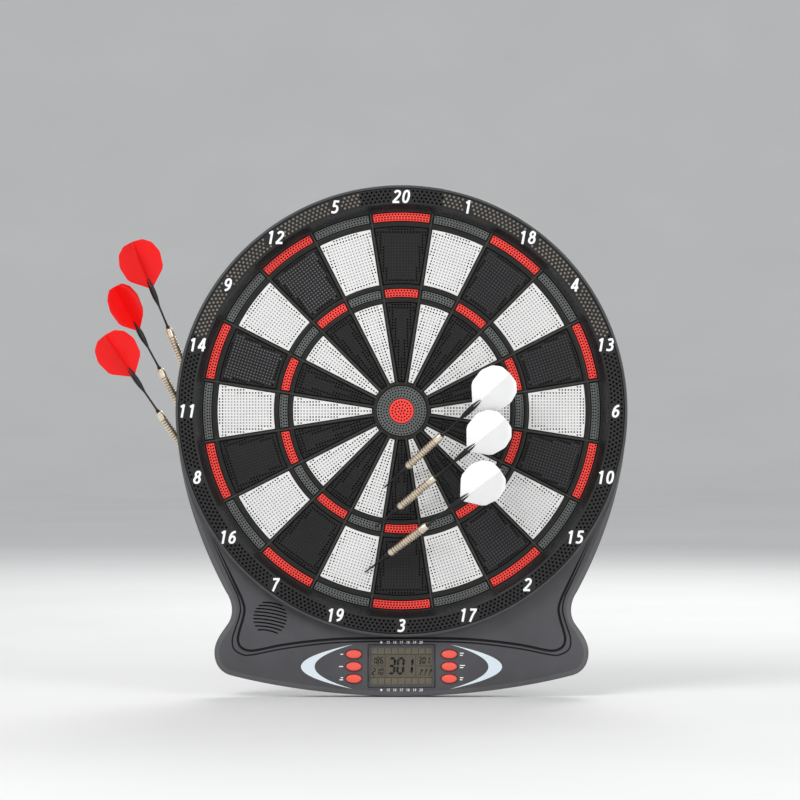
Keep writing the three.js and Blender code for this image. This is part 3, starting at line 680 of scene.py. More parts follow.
def number_text(text, height, weight=0.165, pitch=0.7, slant=0.18):
    """A bold slanted number of flat raised strokes, centred on the origin, its front at y = 0."""
    shell = Shell()
    wide = pitch * len(text) - (pitch - 0.6)
    for k, digit in enumerate(text):
        for order, (shut, line) in enumerate(STROKES[digit]):
            front = 0.03 * order
            line = [
                ((x + k * pitch - wide / 2 + slant * (z - 0.5)) * height, (z - 0.5) * height) for x, z in line
            ]
            if shut:
                line = smooth_line(line + line[:3], 3)[3:3 + 3 * len(line)]
            elif len(line) > 2:
                line = smooth_line(line, 3)
            half = weight * height / 2
            sides = []
            for sign in (1, -1):
                moved = []
                for i, (x, z) in enumerate(line):
                    before = line[i - 1] if shut or i else line[0]
                    after = line[(i + 1) % len(line)] if shut or i + 1 < len(line) else line[-1]
                    dx, dz = after[0] - before[0], after[1] - before[1]
                    length = math.hypot(dx, dz)
                    moved.append((x - sign * dz / length * half, z + sign * dx / length * half))
                sides.append(moved)
            left, right = sides
            rows = [at_depth(left, 0.35), at_depth(left, front), at_depth(right, front), at_depth(right, 0.35)]
            shell.loops(rows, closed=shut)
            if not shut:
                for end in (0, -1):
                    shell.add([row[end] for row in rows], [(0, 1, 2, 3)])
    return shell


def build_number_ring():
    """The ring of catch holes around the target, with the raised numbers."""
    steps = 400
    numeral_r = 185.1
    margin = 1.3
    shell = Shell()
    places = []
    numerals = Shell()
    for i, number in enumerate(NUMBERS):
        angle = math.pi / 2 - i * WEDGE
        x, z = numeral_r * math.cos(angle), numeral_r * math.sin(angle)
        digits = number_text(str(number), 11.4)
        xyz = np.array(digits.points)
        half_w = (xyz[:, 0].max() - xyz[:, 0].min()) / 2
        half_h = (xyz[:, 2].max() - xyz[:, 2].min()) / 2
        places.append((x, z, half_w + margin, half_h + margin))
        digits.points = [(px + x, py + RING_FRONT_Y - 0.25, pz + z) for px, py, pz in digits.points]
        numerals.merge(digits)

    def clear_of_numerals(x, z):
        return all(abs(x - px) > w or abs(z - pz) > h for px, pz, w, h in places)

    per_row = 300
    holes = []
    for row, radius in enumerate((181.5, 184.35, 187.2, 190.05)):
        ring = circle(radius, per_row, phase=math.pi / per_row * (row % 2))
        holes += [c for c in ring if clear_of_numerals(*c)]
    hole_r = 1.0
    rings = [circle(hole_r, HOLE_SIDES, c) for c in holes]
    inner, outer = SLOPE_TOP_R + 0.5, NUMBER_RING_R - 0.3
    points, faces = fill(
        [circle(outer, steps), circle(inner, steps)] + rings, [],
        lambda x, z: math.hypot(x, z) > inner - 0.3,
    )
    shell.add(at_depth(points, RING_FRONT_Y), faces)
    foot_r, foot_y = SLOPE_FOOT
    profile = [
        (inner, RING_FRONT_Y), (SLOPE_TOP_R, RING_FRONT_Y + 0.25), (SLOPE_TOP_R - 0.6, RING_FRONT_Y + 0.9),
        (176.3, -26.0), (foot_r + 0.3, foot_y - 0.3), (foot_r, foot_y),
        (foot_r + 2.4, foot_y), (SLOPE_TOP_R + 1.8, RING_FRONT_Y + 3.2),
        (NUMBER_RING_R - 2.4, RING_FRONT_Y + 3.2), (NUMBER_RING_R - 2.4, RING_FRONT_Y + 6),
        (NUMBER_RING_R, RING_FRONT_Y + 6), (NUMBER_RING_R, RING_FRONT_Y + 0.3), (outer, RING_FRONT_Y),
    ]
    rows = rings_of(profile, steps)
    shell.loops(rows[:2])
    shell.loops(rows[1:6], slot=3)
    shell.loops(rows[5:])
    for centre, ring in zip(holes, rings):
        bearing = math.degrees(math.atan2(centre[1], abs(centre[0])))
        # Holes 20 to 79 degrees above level on either side get shallow floors of painted light; the rest get deep
        # floors of painted shadow.
        depth, slot = (0.5, 2) if 20 < bearing < 79 else (1.8, 1)
        shell.pit(centre, ring, hole_r * 0.85, RING_FRONT_Y, depth, slot)
    # A low rib on the slope above each spoke, and the two screw bosses behind.
    for i in range(len(NUMBERS)):
        rib = Shell()
        outline = [(172.9, -22.5), (173.4, -23.9), (178.3, -30.0), (179.4, -29.0), (175.0, -22.5)]
        rib.loops([[(x, y, z) for x, y in outline] for z in (-0.8, 0.8)], cap_first=True, cap_last=True)
        shell.merge(rib.turned((i + 0.5) * WEDGE))
    boss_at = 130.1
    for side in (-1, 1):
        boss = rings_of([(4.0, -27.0), (4.0, -5.3)], 24, (side * boss_at, boss_at))
        shell.loops(boss, cap_first=True, cap_last=True)
    finishes = ["ring", "ring_hole", "ring_hole_lit", "slope"]
    piece("catch_ring", shell, "board", finishes, ["number_ring"])
    piece("ring_numbers", numerals, "board", ["paint_white"])


# ---- Front cover ----


def bezier(p0, p1, p2, p3, steps):
    points = []
    for i in range(steps):
        t = i / steps
        a, b, c, d = (1 - t) ** 3, 3 * t * (1 - t) ** 2, 3 * t * t * (1 - t), t ** 3
        points.append(tuple(a * p0[k] + b * p1[k] + c * p2[k] + d * p3[k] for k in (0, 1)))
    return points


SKIRT_TOP = (194.4, -15.0)


def skirt_side():
    """The right half of the skirt's outline, from the bottom middle up to the ring."""
    curve = bezier((0, -247), (50, -247), (105, -240), (147.5, -229), 30)
    curve += bezier((147.5, -229), (157, -226.5), (162, -219), (162, -209), 14)
    curve += bezier((162, -209), (162, -199), (155, -191), (150.5, -184.5), 12)
    curve += bezier((150.5, -184.5), (144.5, -176), (146.5, -164.5), (152, -156.5), 14)
    curve += bezier((152, -156.5), (176, -112), (192.8, -60), SKIRT_TOP, 30)
    return curve + [SKIRT_TOP]


def offset(line, distances):
    """Moves an open line's points to its left by the given distances."""
    moved = []
    for i, (x, z) in enumerate(line):
        ax, az = line[max(i - 1, 0)]
        bx, bz = line[min(i + 1, len(line) - 1)]
        length = math.hypot(bx - ax, bz - az)
        moved.append((x - (bz - az) / length * distances[i], z + (bx - ax) / length * distances[i]))
    return moved


def smooth_line(points, per_span):
    """A Catmull-Rom curve through the points."""
    padded = [points[0]] + list(points) + [points[-1]]
    line = []
    for i in range(len(points) - 1):
        p0, p1, p2, p3 = padded[i:i + 4]
        for step in range(per_span):
            t = step / per_span
            line.append(tuple(
                0.5 * (2 * p1[k] + (p2[k] - p0[k]) * t + (2 * p0[k] - 5 * p1[k] + 4 * p2[k] - p3[k]) * t * t
                       + (3 * p1[k] - p0[k] - 3 * p2[k] + p3[k]) * t ** 3)
                for k in (0, 1)
            ))
    return line + [points[-1]]


def mirrored_line(right_half):
    """A line from the right end to the left end, from its right half that ends at x = 0."""
    return right_half + [(-x, z) for x, z in reversed(right_half[:-1])]


INNER_GROOVE = [(163.2, -109.5), (152.2, -132.5), (141.8, -154.5), (138.4, -162), (135.9, -171), (137.2, -180),
                (140.2, -190), (141.6, -198), (139.2, -204.2), (132.8, -207.3), (124, -206.8), (97.9, -201.7),
                (54.8, -197.3), (0, -196.4)]
OUTER_GROOVE = [(166.0, -107), (155.2, -131), (144.9, -153), (141.3, -161), (139.3, -170.5), (140.4, -178),
                (143.6, -188), (146.3, -197), (145.2, -205.6), (138, -210.6), (129, -211), (100, -205.4),
                (56, -200.4), (0, -199.1)]


def groove_loops(points, half_width):
    """A groove's closed edge loop and its centre line, tapering to a point at both ends."""
    centre = mirrored_line(smooth_line(points, 7))
    last = len(centre) - 1
    taper = [half_width * min(1.0, 0.06 + min(i, last - i) / 14) for i in range(len(centre))]
    left = offset(centre, taper)
    right = offset(centre, [-t for t in taper])
    return left + right[::-1], centre


def rounded_box(width, height, radius, centre, steps=5):
    corners = []
    for k, (sx, sz) in enumerate(((1, 1), (-1, 1), (-1, -1), (1, -1))):
        cx = centre[0] + sx * (width / 2 - radius)
        cz = centre[1] + sz * (height / 2 - radius)
        for i in range(steps + 1):
            a = (k + i / steps) * math.pi / 2
            corners.append((cx + radius * math.cos(a), cz + radius * math.sin(a)))
    return corners


def speaker_slots():
    """Rounded slots, bowed a little, filling a circle."""
    slots = []
    tilt = math.radians(-10)
    for rise in np.arange(-4, 5) * 3.0:
        half = math.sqrt(SPEAKER_R ** 2 - rise ** 2) - 1.2
        width = 0.62
        spine = [(half * t, rise + 1.1 * (1 - t * t)) for t in np.linspace(-1, 1, 9)]
        upper = [(x, z + width) for x, z in spine]
        lower = [(x, z - width) for x, z in reversed(spine)]
        outline = upper + [(half + width, rise)] + lower + [(-half - width, rise)]
        c, s = math.cos(tilt), math.sin(tilt)
        slots.append([(SPEAKER_AT[0] + x * c - z * s, SPEAKER_AT[1] + x * s + z * c) for x, z in outline])
    return slots


def build_front_cover():
    """The skirt with its ears and control panel, and the round rim above it."""
    right = skirt_side()
    whole = [(-x, z) for x, z in reversed(right[1:])] + right
    spare = [math.hypot(x, z) - RIM[1] for x, z in whole]
    chamfer = [max(0.02, min(4.2, s * 0.55)) for s in spare]
    ring_r = RIM[1] + 0.001
    top_angle = math.atan2(SKIRT_TOP[1], SKIRT_TOP[0])
    arc_angles = np.linspace(top_angle, -math.pi - top_angle, 140)[1:-1]
    arc = [(ring_r * math.cos(a), ring_r * math.sin(a)) for a in arc_angles]
    edge = offset(whole, chamfer)
    front_loop = edge + arc

    inner_edge, inner_centre = groove_loops(INNER_GROOVE, 1.15)
    outer_edge, outer_centre = groove_loops(OUTER_GROOVE, 0.7)
    inner_depth, outer_depth = 1.35, 0.8
    slots = speaker_slots()
    lens_recess = rounded_box(58.0, 37.0, 1.0, (0, LCD_Z))
    lens_window = rounded_box(53.4, 32.4, 0.8, (0, LCD_Z))
    button_sites = [(side * BUTTON_X, z) for z in BUTTON_Z for side in (-1, 1)]
    button_rims = [oval(BUTTON_R[0] + 0.75, BUTTON_R[1] + 0.75, 40, site) for site in button_sites]
    button_holes = [oval(BUTTON_R[0] + 0.35, BUTTON_R[1] + 0.35, 40, site) for site in button_sites]

    def in_panel(x, z):
        return math.hypot(x, z) > ring_r - 0.05 and inside_polygon(x, z, edge)

    openings = [lens_recess] + button_rims + slots
    groove_lines = [edge_loop + edge_loop[:1] for edge_loop in (inner_edge, outer_edge)]
    groove_lines += [inner_centre[1:-1], outer_centre[1:-1]]
    points, faces = fill([front_loop] + openings, groove_lines, in_panel)
    floor_start = len(front_loop) + sum(len(loop) for loop in openings) + len(inner_edge) + len(outer_edge) + 2
    inner_floor = range(floor_start, floor_start + len(inner_centre) - 2)
    outer_floor = range(inner_floor.stop, len(points))
    depth = dict.fromkeys(inner_floor, inner_depth) | dict.fromkeys(outer_floor, outer_depth)
    shell = Shell()
    placed = [(x, PANEL_Y + depth.get(i, 0.0), z) for i, (x, z) in enumerate(points)]
    shell.add(placed, faces)
    for k, face in enumerate(faces):
        if any(i in depth for i in face):
            shell.slots[k] = 2

    # Chamfer, outer wall and turned-in back edge of the skirt.
    chamfer_foot = at_depth(offset(whole, [c * 0.12 for c in chamfer]), PANEL_Y + 1.7)
    inner_wall = offset(whole, [2.2] * len(whole))
    # The chamfer takes the lighter grey, a painted highlight.
    shell.loops([at_depth(edge, PANEL_Y), chamfer_foot], closed=False, slot=1)
    shell.loops([
        chamfer_foot, at_depth(whole, PANEL_Y + 2.3), at_depth(whole, SEAM_Y), at_depth(inner_wall, SEAM_Y),
        at_depth(inner_wall, PANEL_BACK_Y),
    ], closed=False)

    # Recesses, holes and slots go through to the panel's back.
    shell.loops([
        at_depth(lens_recess, PANEL_Y), at_depth(lens_recess, PANEL_Y + 1.2),
        at_depth(lens_window, PANEL_Y + 1.2), at_depth(lens_window, PANEL_BACK_Y),
    ])
    for rim, hole in zip(button_rims, button_holes):
        shell.loops([at_depth(rim, PANEL_Y), at_depth(hole, PANEL_Y + 0.45), at_depth(hole, PANEL_BACK_Y)])
    for slot in slots:
        shell.loops([at_depth(slot, PANEL_Y), at_depth(slot, PANEL_BACK_Y)])

    # The raised round rim.
    inner, outer = RIM
    front = RIM_FRONT_Y
    profile = [
        (outer, SEAM_Y), (outer, front + 0.8), (outer - 0.25, front + 0.25), (outer - 0.8, front),
        (inner + 0.6, front), (inner + 0.15, front + 0.2), (inner, front + 0.7), (inner, SEAM_Y), (outer, SEAM_Y),
    ]
    shell.loops(rings_of(profile, 360), slot=3)
    piece("case_front", shell, "board", ["grey", "grey_edge", "groove", "rim"], ["front_cover", "front_rim"],
          smooth=25)


def inside_polygon(x, z, polygon):
    inside = False
    for (ax, az), (bx, bz) in zip(polygon, polygon[1:] + polygon[:1]):
        if (az > z) != (bz > z) and x < ax + (z - az) / (bz - az) * (bx - ax):
            inside = not inside
    return inside


# ---- Control panel ----


def raised(outline, y, thickness):
    """A thin printed or inlaid shape that stands proud of y."""
    shell = Shell()
    shell.loops([at_depth(outline, y), at_depth(outline, y - thickness)], cap_first=True, cap_last=True)
    return shell


def crescent(side):
    """A white crescent that opens towards the window. side is -1 on the left, 1 on the right."""
    steps = 40
    tip_x, half_height, reach, hollow = 42.0, 19.3, 45.0, 33.2
    middle = LCD_Z - 0.5
    heights = np.linspace(-1, 1, steps)
    outer = [(side * (tip_x + reach * (1 - u * u)), middle + half_height * u) for u in heights]
    inner = [outer[0]]
    inner += [(side * (tip_x + hollow * (1 - u * u)), middle + half_height * u) for u in heights[1:-1]]
    inner.append(outer[-1])
    depths = (PANEL_Y - 0.12, PANEL_Y + 0.05)
    shell = Shell()
    for y in depths:
        shell.loops([at_depth(outer, y), at_depth(inner, y)], closed=False)
    shell.loops([at_depth(outer + inner[-2:0:-1], y) for y in depths])
    return shell


LCD_FACE_Y = -18.5
INK = 0.08  # thickness of the digits on the panel
# The bars lit for each digit, named as on a seven-bar display.
SEVEN = {"0": "abcdef", "1": "bc", "2": "abged", "3": "abgcd", "5": "afgcd", "6": "afgedc", "8": "abcdefg"}


def seven_segment(text, x, z, height, width, pitch, thick):
    """Digits made of seven bars, slanted a little, left edge at x and middle at z."""
    shell = Shell()
    half = height / 2
    bars = {
        "a": ((0, half), (width, half)), "g": ((0, 0), (width, 0)), "d": ((0, -half), (width, -half)),
        "f": ((0, half), (0, 0)), "b": ((width, half), (width, 0)),
        "e": ((0, 0), (0, -half)), "c": ((width, 0), (width, -half)),
    }
    slant = 0.08
    for k, digit in enumerate(text):
        left = x + k * pitch
        for name in SEVEN.get(digit, ""):
            (ax, az), (bx, bz) = bars[name]
            dx, dz = (1, 0) if az == bz else (0, -1)
            gap = 0.12 * thick
            px, pz = ax + dx * gap, az + dz * gap
            qx, qz = bx - dx * gap, bz - dz * gap
            h = thick / 2
            nx, nz = -dz * h, dx * h
            outline = [(px + nx + dx * h, pz + nz + dz * h), (qx + nx - dx * h, qz + nz - dz * h),
                       (qx, qz), (qx - nx - dx * h, qz - nz - dz * h),
                       (px - nx + dx * h, pz - nz + dz * h), (px, pz)]
            shell.merge(raised([(left + ox + slant * oz, z + oz) for ox, oz in outline], LCD_FACE_Y, INK))
    return shell


def bar(x0, x1, z0, z1, y=LCD_FACE_Y, thickness=0.06):
    return raised([(x0, z0), (x1, z0), (x1, z1), (x0, z1)], y, thickness)


def build_lcd():
    """The panel behind the window: a ground, rows of cells, dividing lines, digits and dart marks."""
    ground = Shell()
    outline = rounded_box(55.4, 36.0, 0.6, (0, LCD_Z))
    rear_y = -15.3
    ground.loops([at_depth(outline, rear_y), at_depth(outline, LCD_FACE_Y)], cap_first=True, cap_last=True)
    piece("lcd_body", ground, "board", ["lcd"], ["lcd_module"])

    half_w, half_h = 26.4, 16.0
    cells = Shell()
    lines = Shell()
    row_h = 5.6
    columns = 9
    width = 2 * half_w / columns
    for side in (-1, 1):
        z_mid = LCD_Z + side * (half_h - row_h / 2)
        z0, z1 = z_mid - row_h / 2 + 0.4, z_mid + row_h / 2 - 0.4
        for c in range(columns):
            x0 = -half_w + c * width
            cells.merge(bar(x0 + 0.35, x0 + width - 0.35, z0, z1, thickness=0.04))
            if c:
                lines.merge(bar(x0 - 0.16, x0 + 0.16, z0, z1))
        z_line = LCD_Z + side * (half_h - row_h - 0.3)
        lines.merge(bar(-half_w, half_w, z_line - 0.2, z_line + 0.2))
    for x in (-14.2, 12.4):
        lines.merge(bar(x - 0.2, x + 0.2, LCD_Z - 9.8, LCD_Z + 9.8))
    for x0, x1 in ((-half_w, -14.6), (12.8, half_w)):
        lines.merge(bar(x0, x1, LCD_Z - 0.2, LCD_Z + 0.2))
    piece("lcd_cells", cells, "board", ["lcd_cell"])
    piece("lcd_lines", lines, "board", ["lcd_line"])

    ink = seven_segment("301", -10.8, LCD_Z, 13.0, 4.8, 7.6, 2.1)
    for text, x, rise in (("186", -24.9, 4.7), ("210", -24.9, -4.9), ("301", 15.0, 4.7)):
        ink.merge(seven_segment(text, x, LCD_Z + rise, 5.7, 1.9, 3.5, 1.0))
    for i in range(3):
        x, z = 15.6 + i * 3.9, LCD_Z - 6.6
        stick = [(x, z - 1.6), (x + 0.5, z - 1.7), (x + 2.1, z + 2.2), (x + 1.4, z + 2.5)]
        ink.merge(raised(stick, LCD_FACE_Y, INK))
        ink.merge(raised(circle(0.9, 14, (x + 2.1, z + 2.9)), LCD_FACE_Y, INK))
    piece("lcd_digits", ink, "board", ["lcd_ink"])

    frame_strip = Shell()
    outer = rounded_box(58.6, 37.6, 1.3, (0, LCD_Z))
    inner = rounded_box(57.5, 36.5, 0.8, (0, LCD_Z))
    frame_strip.loops([
        at_depth(outer, PANEL_Y + 0.05), at_depth(outer, PANEL_Y - 0.25), at_depth(inner, PANEL_Y - 0.12),
        at_depth(inner, PANEL_Y + 0.05), at_depth(outer, PANEL_Y + 0.05),
    ])
    piece("lcd_frame", frame_strip, "board", ["groove"])


def build_buttons():
    """Six domed oval caps, each with a flange behind the panel."""
    for row, z in enumerate(BUTTON_Z):
        for side, word in ((-1, "left"), (1, "right")):
            site = (side * BUTTON_X, z)
            rx, rz = BUTTON_R
            shell = Shell()
            profile = [(1.3, -17.4), (1.3, -18.35), (0.0, -18.4), (0.0, -21.9), (-0.25, -22.6), (-0.9, -23.0),
                       (-1.9, -23.15), (-2.9, -23.2)]
            rows = [at_depth(oval(rx + grow, rz + grow, 44, site), y) for grow, y in profile]
            shell.loops(rows, cap_first=True, cap_last=True)
            name = f"button_{word}_{row + 1}"
            piece(f"cap_{word}_{row + 1}", shell, f"{name}_key", ["coral"], [name], smooth=45)


def build_printing():
    """White printing: the crescents, a row of numbers above and below the window, and button marks."""
    shell = crescent(-1)
    shell.merge(crescent(1))
    piece("crescents", shell, "board", ["crescent"])
    marks = Shell()
    print_height = 0.12
    for side in (-1, 1):
        z = LCD_Z + side * 20.6
        for i, text in enumerate(("15", "16", "17", "18", "19", "20")):
            label = number_text(text, 2.3, 0.16, slant=0.1)
            label.points = [
                (x - 11.6 + i * 5.7, y * 0.4 + PANEL_Y - print_height, pz + z) for x, y, pz in label.points
            ]
            marks.merge(label)
        marks.merge(raised(circle(0.95, 16, (-17.5, z)), PANEL_Y, print_height))
    dashes = {-1: ((2.4,), (3.6,), (2.2, 3.2)), 1: ((3.4, 2.6), (4.4, 3.0), (3.0, 2.2))}
    for side, rows in dashes.items():
        for z, lengths in zip(BUTTON_Z, rows):
            for k, length in enumerate(lengths):
                x0 = side * (BUTTON_X + 9.2 + length / 2)
                mid = z + (0.9 - 1.8 * k if len(lengths) > 1 else 0.0)
                marks.merge(bar(x0 - length / 2, x0 + length / 2, mid - 0.4, mid + 0.4, PANEL_Y, print_height))
    piece("panel_marks", marks, "board", ["paint_white"])


# ---- Darts ----


def lathe(profile, steps, groove_radius=0.0):
    """A shell turned about +Y from (radius, y) points. Level runs at groove_radius take slot 1."""
    shell = Shell()
    rows = [[(r * math.cos(a), y, r * math.sin(a)) for a in np.linspace(0, 2 * math.pi, steps, False)]
            for r, y in profile]
    last = len(rows) - 2
    for i in range(last + 1):
        in_groove = profile[i][0] == profile[i + 1][0] == groove_radius
        shell.loops(rows[i:i + 2], slot=int(in_groove), cap_first=i == 0, cap_last=i == last)
    return shell


# Lengths along a dart are measured from its point.
BARREL_R = 3.4
GROOVE_R = 2.7


def barrel_profile():
    """Rings of knurling along the middle of the barrel, plain collars at both ends."""
    start, end, pitch = 28.0, 70.0, 2.4
    r = BARREL_R
    profile = [(1.8, start), (2.7, start + 0.05), (3.1, start + 0.8), (r, start + 2.0), (r, start + 4.0)]
    for s in np.arange(start + 4.0, end - 7.0, pitch):
        profile += [(r, s), (GROOVE_R, s + 0.35), (GROOVE_R, s + 1.15), (r, s + 1.5)]
    return profile + [(r, end - 4.5), (r - 0.15, end - 1.5), (r - 0.7, end - 0.3), (1.8, end)]


def flight_shell():
    """Four thin vanes with a kite outline, each folded sheet slightly bowed."""
    shell = Shell()
    root, end = 108.0, 151.5
    corners = [(1.2, root), (16.4, root + 13.0), (18.9, root + 27.0), (15.6, root + 37.0), (9.0, root + 42.6),
               (1.0, end)]
    edge = [corners[0]]
    for before, corner, after in zip(corners, corners[1:], corners[2:]):
        edge += [tuple(0.88 * c + 0.12 * n for c, n in zip(corner, near)) for near in (before, after)]
    edge.append(corners[-1])
    half = 0.17
    for k in range(4):
        vane = Shell()
        rows = [
            [(x * share, s, 0.35 * math.sin(math.pi * share) * math.sin(math.pi * (s - root) / (end - root)))
             for x, s in edge]
            for share in (0.0, 0.35, 0.7, 0.97, 1.0)
        ]
        thin = (half, half, half, half, half * 0.4)
        front = [[(x, y, z + t) for x, y, z in row] for row, t in zip(rows, thin)]
        back = [[(x, y, z - t) for x, y, z in row] for row, t in zip(rows, thin)]
        vane.loops(front + back[::-1], closed=False)
        for index in (0, len(edge) - 1):
            across = [row[index] for row in front] + [row[index] for row in back[::-1]]
            vane.add(across, [tuple(range(len(across)))])
        shell.merge(vane.turned(k * math.pi / 2))
    return shell


def shaft_profile():
    return [(1.0, 69.9), (1.7, 70.4), (1.7, 71.4), (1.0, 73.0), (0.85, 80.0), (0.9, 91.0), (1.4, 94.0),
            (2.25, 99.0), (2.5, 104.0), (2.3, 109.0), (1.6, 114.0), (0.8, 116.9)]


def tip_profile():
    return [(0.25, 0.0), (0.5, 0.4), (0.75, 6.0), (1.05, 19.5), (1.3, 20.5), (2.3, 21.5), (2.35, 22.4),
            (1.9, 22.7), (1.9, 23.4), (2.35, 23.7), (2.35, 28.05)]


def dart_matrix(node, axis, roll):
    """Where the CAD frame holds a dart: its point, its axis, and its turn about that axis."""
    corners = [v.co / MM for v in frame["nodes"][node].data.vertices]
    low = min(c.dot(axis) for c in corners)
    tip = [c for c in corners if c.dot(axis) < low + 0.01]
    point = sum(tip, Vector()) / len(tip)
    across = axis.cross(Vector((0, 1, 0))).normalized()
    normal = across.cross(axis)
    turn = Matrix((across, axis, normal)).transposed().to_4x4()
    return Matrix.Translation(point) @ turn @ Matrix.Rotation(math.radians(roll), 4, "Y")


def build_darts():
    """Every dart the frame holds, as a point, a barrel, a shaft and a flight."""
    parts = [
        ("tip", lathe(tip_profile(), 24), ["tip"]),
        ("barrel", lathe(barrel_profile(), 48, GROOVE_R), ["barrel", "barrel_groove_shade"]),
        ("shaft", lathe(shaft_profile(), 28), ["shaft"]),
        ("flight", flight_shell(), None),
    ]
    for joint in frame["joints"]:
        if not joint["name"].startswith("pull_"):
            continue
        node = joint["name"].removeprefix("pull_")
        roll = 45.0 if node == "stored_dart_2" else 0.0
        matrix = dart_matrix(node, Vector(joint["axis"]), roll)
        colour = "white" if node.startswith("thrown") else "red"
        for word, shell, finishes in parts:
            piece(
                f"{node}_{word}", shell.placed(matrix), f"{node}_body", finishes or [f"flight_{colour}"],
                [node], smooth=35,
            )


# ---- Small parts seen from behind ----


def build_screws():
    """Pan heads with a cross recess, in the CAD screws' places."""
    for name in ("upper_right", "upper_left", "lower_right", "lower_left"):
        low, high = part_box(f"screw_{name}")
        x, z = (low.x + high.x) / 2 / MM, (low.z + high.z) / 2 / MM
        back = high.y / MM
        shell = Shell()
        steps, flat_r, flat_y = 36, 2.2, back - 0.08
        profile = [(1.25, low.y / MM), (1.3, back - 2.0), (3.2, back - 2.0), (3.2, back - 1.0), (2.9, back - 0.4),
                   (flat_r, flat_y)]
        shell.loops(rings_of(profile, steps, (x, z)), cap_first=True)
        arm, reach = 0.42, 1.55
        cross = []
        for sx, sz in ((1, 1), (-1, 1), (-1, -1), (1, -1)):
            corner = [(sx * reach, sz * arm), (sx * arm, sz * arm), (sx * arm, sz * reach)]
            cross += [(x + cx, z + cz) for cx, cz in (corner if sx == sz else corner[::-1])]
        points, faces = fill(
            [circle(flat_r, steps, (x, z)), cross], [], lambda px, pz: not inside_polygon(px, pz, cross)
        )
        shell.add(at_depth(points, flat_y), faces)
        shell.loops([at_depth(cross, flat_y), at_depth(cross, back - 1.1)], cap_last=True)
        piece(f"pan_screw_{name}", shell, "board", ["steel"], [f"screw_{name}"])


def build_speaker_cloth():
    """A disc of black cloth behind the grille's slots."""
    shell = Shell()
    r = SPEAKER_R + 0.2
    rows = rings_of([(r, PANEL_BACK_Y + 0.02), (r, PANEL_BACK_Y + 0.3)], 48, SPEAKER_AT)
    shell.loops(rows, cap_first=True, cap_last=True)
    piece("speaker_cloth", shell, "board", ["cloth"])


def build_batteries():
    """Cells with a jacket, a coloured band and a bright cap. The middle one lies the other way round."""
    for i in (1, 2, 3):
        low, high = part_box(f"battery_{i}")
        y, z = (low.y + high.y) / 2 / MM, (low.z + high.z) / 2 / MM
        start, sign = (high.x / MM, -1) if i == 2 else (low.x / MM, 1)
        rows = [(6.2, 0.0), (7.0, 0.1), (7.2, 0.6), (7.2, 34.0), (7.2, 34.02), (7.2, 48.6), (7.0, 49.2),
                (5.9, 49.4), (2.8, 49.4), (2.6, 50.3), (2.2, 50.5)]
        steps = 40
        shell = Shell()
        rings = [[(start + sign * s, y + r * math.cos(a), z + r * math.sin(a))
                  for a in np.linspace(0, 2 * math.pi, steps, False)] for r, s in rows]
        shell.loops(rings[:4], cap_first=True)
        shell.loops(rings[4:8], slot=1)
        shell.loops(rings[3:5], slot=1)
        shell.loops(rings[7:], slot=2, cap_last=True)
        piece(f"cell_{i}", shell, "board", ["jacket", "gold", "steel"], [f"battery_{i}"])


# CAD nodes that stay as they are, each with its finish.
CARRIED = {
    "rear_housing": "rear", "battery_door": "rear", "dart_holder": "ring", "foam_pad": "foam",
    "membrane_sheet": "film", "membrane_tail": "film", "lcd_lens": "lens", "main_board": "board",
    "keypad_mat": "rubber", "speaker": "speaker", "battery_contacts_left": "steel",
    "battery_contacts_right": "steel", "battery_lead": "wire", "speaker_lead": "wire",
}


def finish_carried_nodes():
    """Gives the CAD nodes that stay visible their materials."""
    for node, key in CARRIED.items():
        thing = frame["nodes"][node]
        thing.data.materials.clear()
        thing.data.materials.append(M[key])


# ---- Stage, lights and camera ----


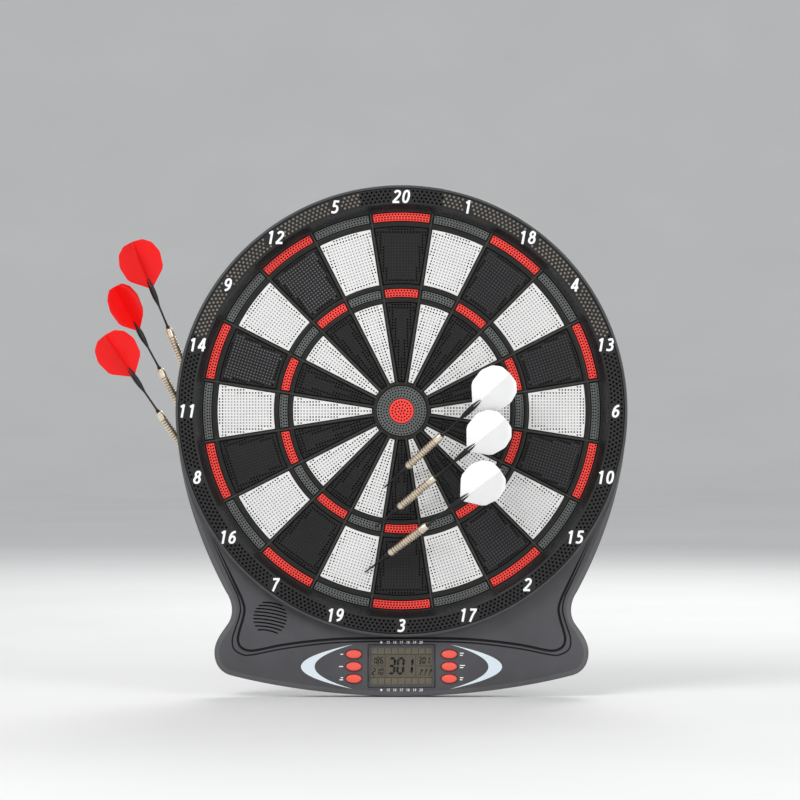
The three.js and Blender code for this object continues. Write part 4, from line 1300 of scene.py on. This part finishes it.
def build_stage():
    """A pale floor that curves up far behind the board."""
    low = cad_box[0][2] - 0.0008
    half_width, start, bend, top = 16.0, 6.0, 3.0, 9.0
    section = [(-16.0, low), (0.0, low)]
    for a in np.linspace(0, math.pi / 2, 24):
        section.append((start + bend * math.sin(a), low + bend * (1 - math.cos(a))))
    section.append((start + bend, low + top))
    points = [(x, y, z) for y, z in section for x in (-half_width, half_width)]
    faces = [(2 * i, 2 * i + 1, 2 * i + 3, 2 * i + 2) for i in range(len(section) - 1)]
    mesh = bpy.data.meshes.new("floor")
    mesh.from_pydata(points, [], faces)
    mesh.shade_smooth()
    floor = bpy.data.objects.new("floor", mesh)
    material, nodes, links, bsdf = node_material("floor_pale")
    tone = ramp(nodes, links, noise(nodes, links, 3.0), [(0.3, (0.8, 0.8, 0.8)), (0.7, (0.84, 0.84, 0.84))])
    links.new(tone, bsdf.inputs["Base Color"])
    bsdf.inputs["Roughness"].default_value = 0.85
    mesh.materials.append(material)
    bpy.context.scene.collection.objects.link(floor)

    world = bpy.data.worlds.new("studio")
    bpy.context.scene.world = world
    world.use_nodes = True
    background = world.node_tree.nodes["Background"]
    background.inputs["Color"].default_value = (0.93, 0.94, 0.95, 1)
    background.inputs["Strength"].default_value = 0.6
    bpy.context.scene.view_settings.view_transform = "Standard"


def area_light(name, place, target, size, power):
    data = bpy.data.lights.new(name, "AREA")
    data.shape = "RECTANGLE"
    data.size, data.size_y = size
    data.energy = power
    light = bpy.data.objects.new(name, data)
    light.location = place
    light.rotation_euler = (Vector(target) - Vector(place)).to_track_quat("-Z", "Y").to_euler()
    bpy.context.scene.collection.objects.link(light)


def build_lights():
    area_light("key", (-1.1, -1.5, 1.5), (0, 0, 0), (1.2, 1.0), 26)
    area_light("fill", (1.5, -1.6, 0.5), (0, 0, -0.05), (1.0, 1.4), 14)
    area_light("back", (0.4, 1.8, 1.4), (0, 0, 0), (1.4, 1.0), 22)


def build_camera():
    """Straight on, from far enough away that the face is seen almost without perspective."""
    distance = 3.0
    view_width = 0.692
    data = bpy.data.cameras.new("camera")
    data.sensor_width = 36.0
    data.lens = data.sensor_width * distance / view_width
    data.clip_end = 60.0
    camera = bpy.data.objects.new("camera", data)
    camera.location = (-0.0013, FACE_Y * MM - distance, 0.0095)
    camera.rotation_euler = (math.pi / 2, 0, 0)
    bpy.context.scene.collection.objects.link(camera)
    bpy.context.scene.camera = camera


build_camera()
build_stage()
build_lights()
build_segments()
build_bulls()
build_web()
build_number_ring()
build_front_cover()
build_lcd()
build_buttons()
build_printing()
build_darts()
build_screws()
build_speaker_cloth()
build_batteries()
finish_carried_nodes()
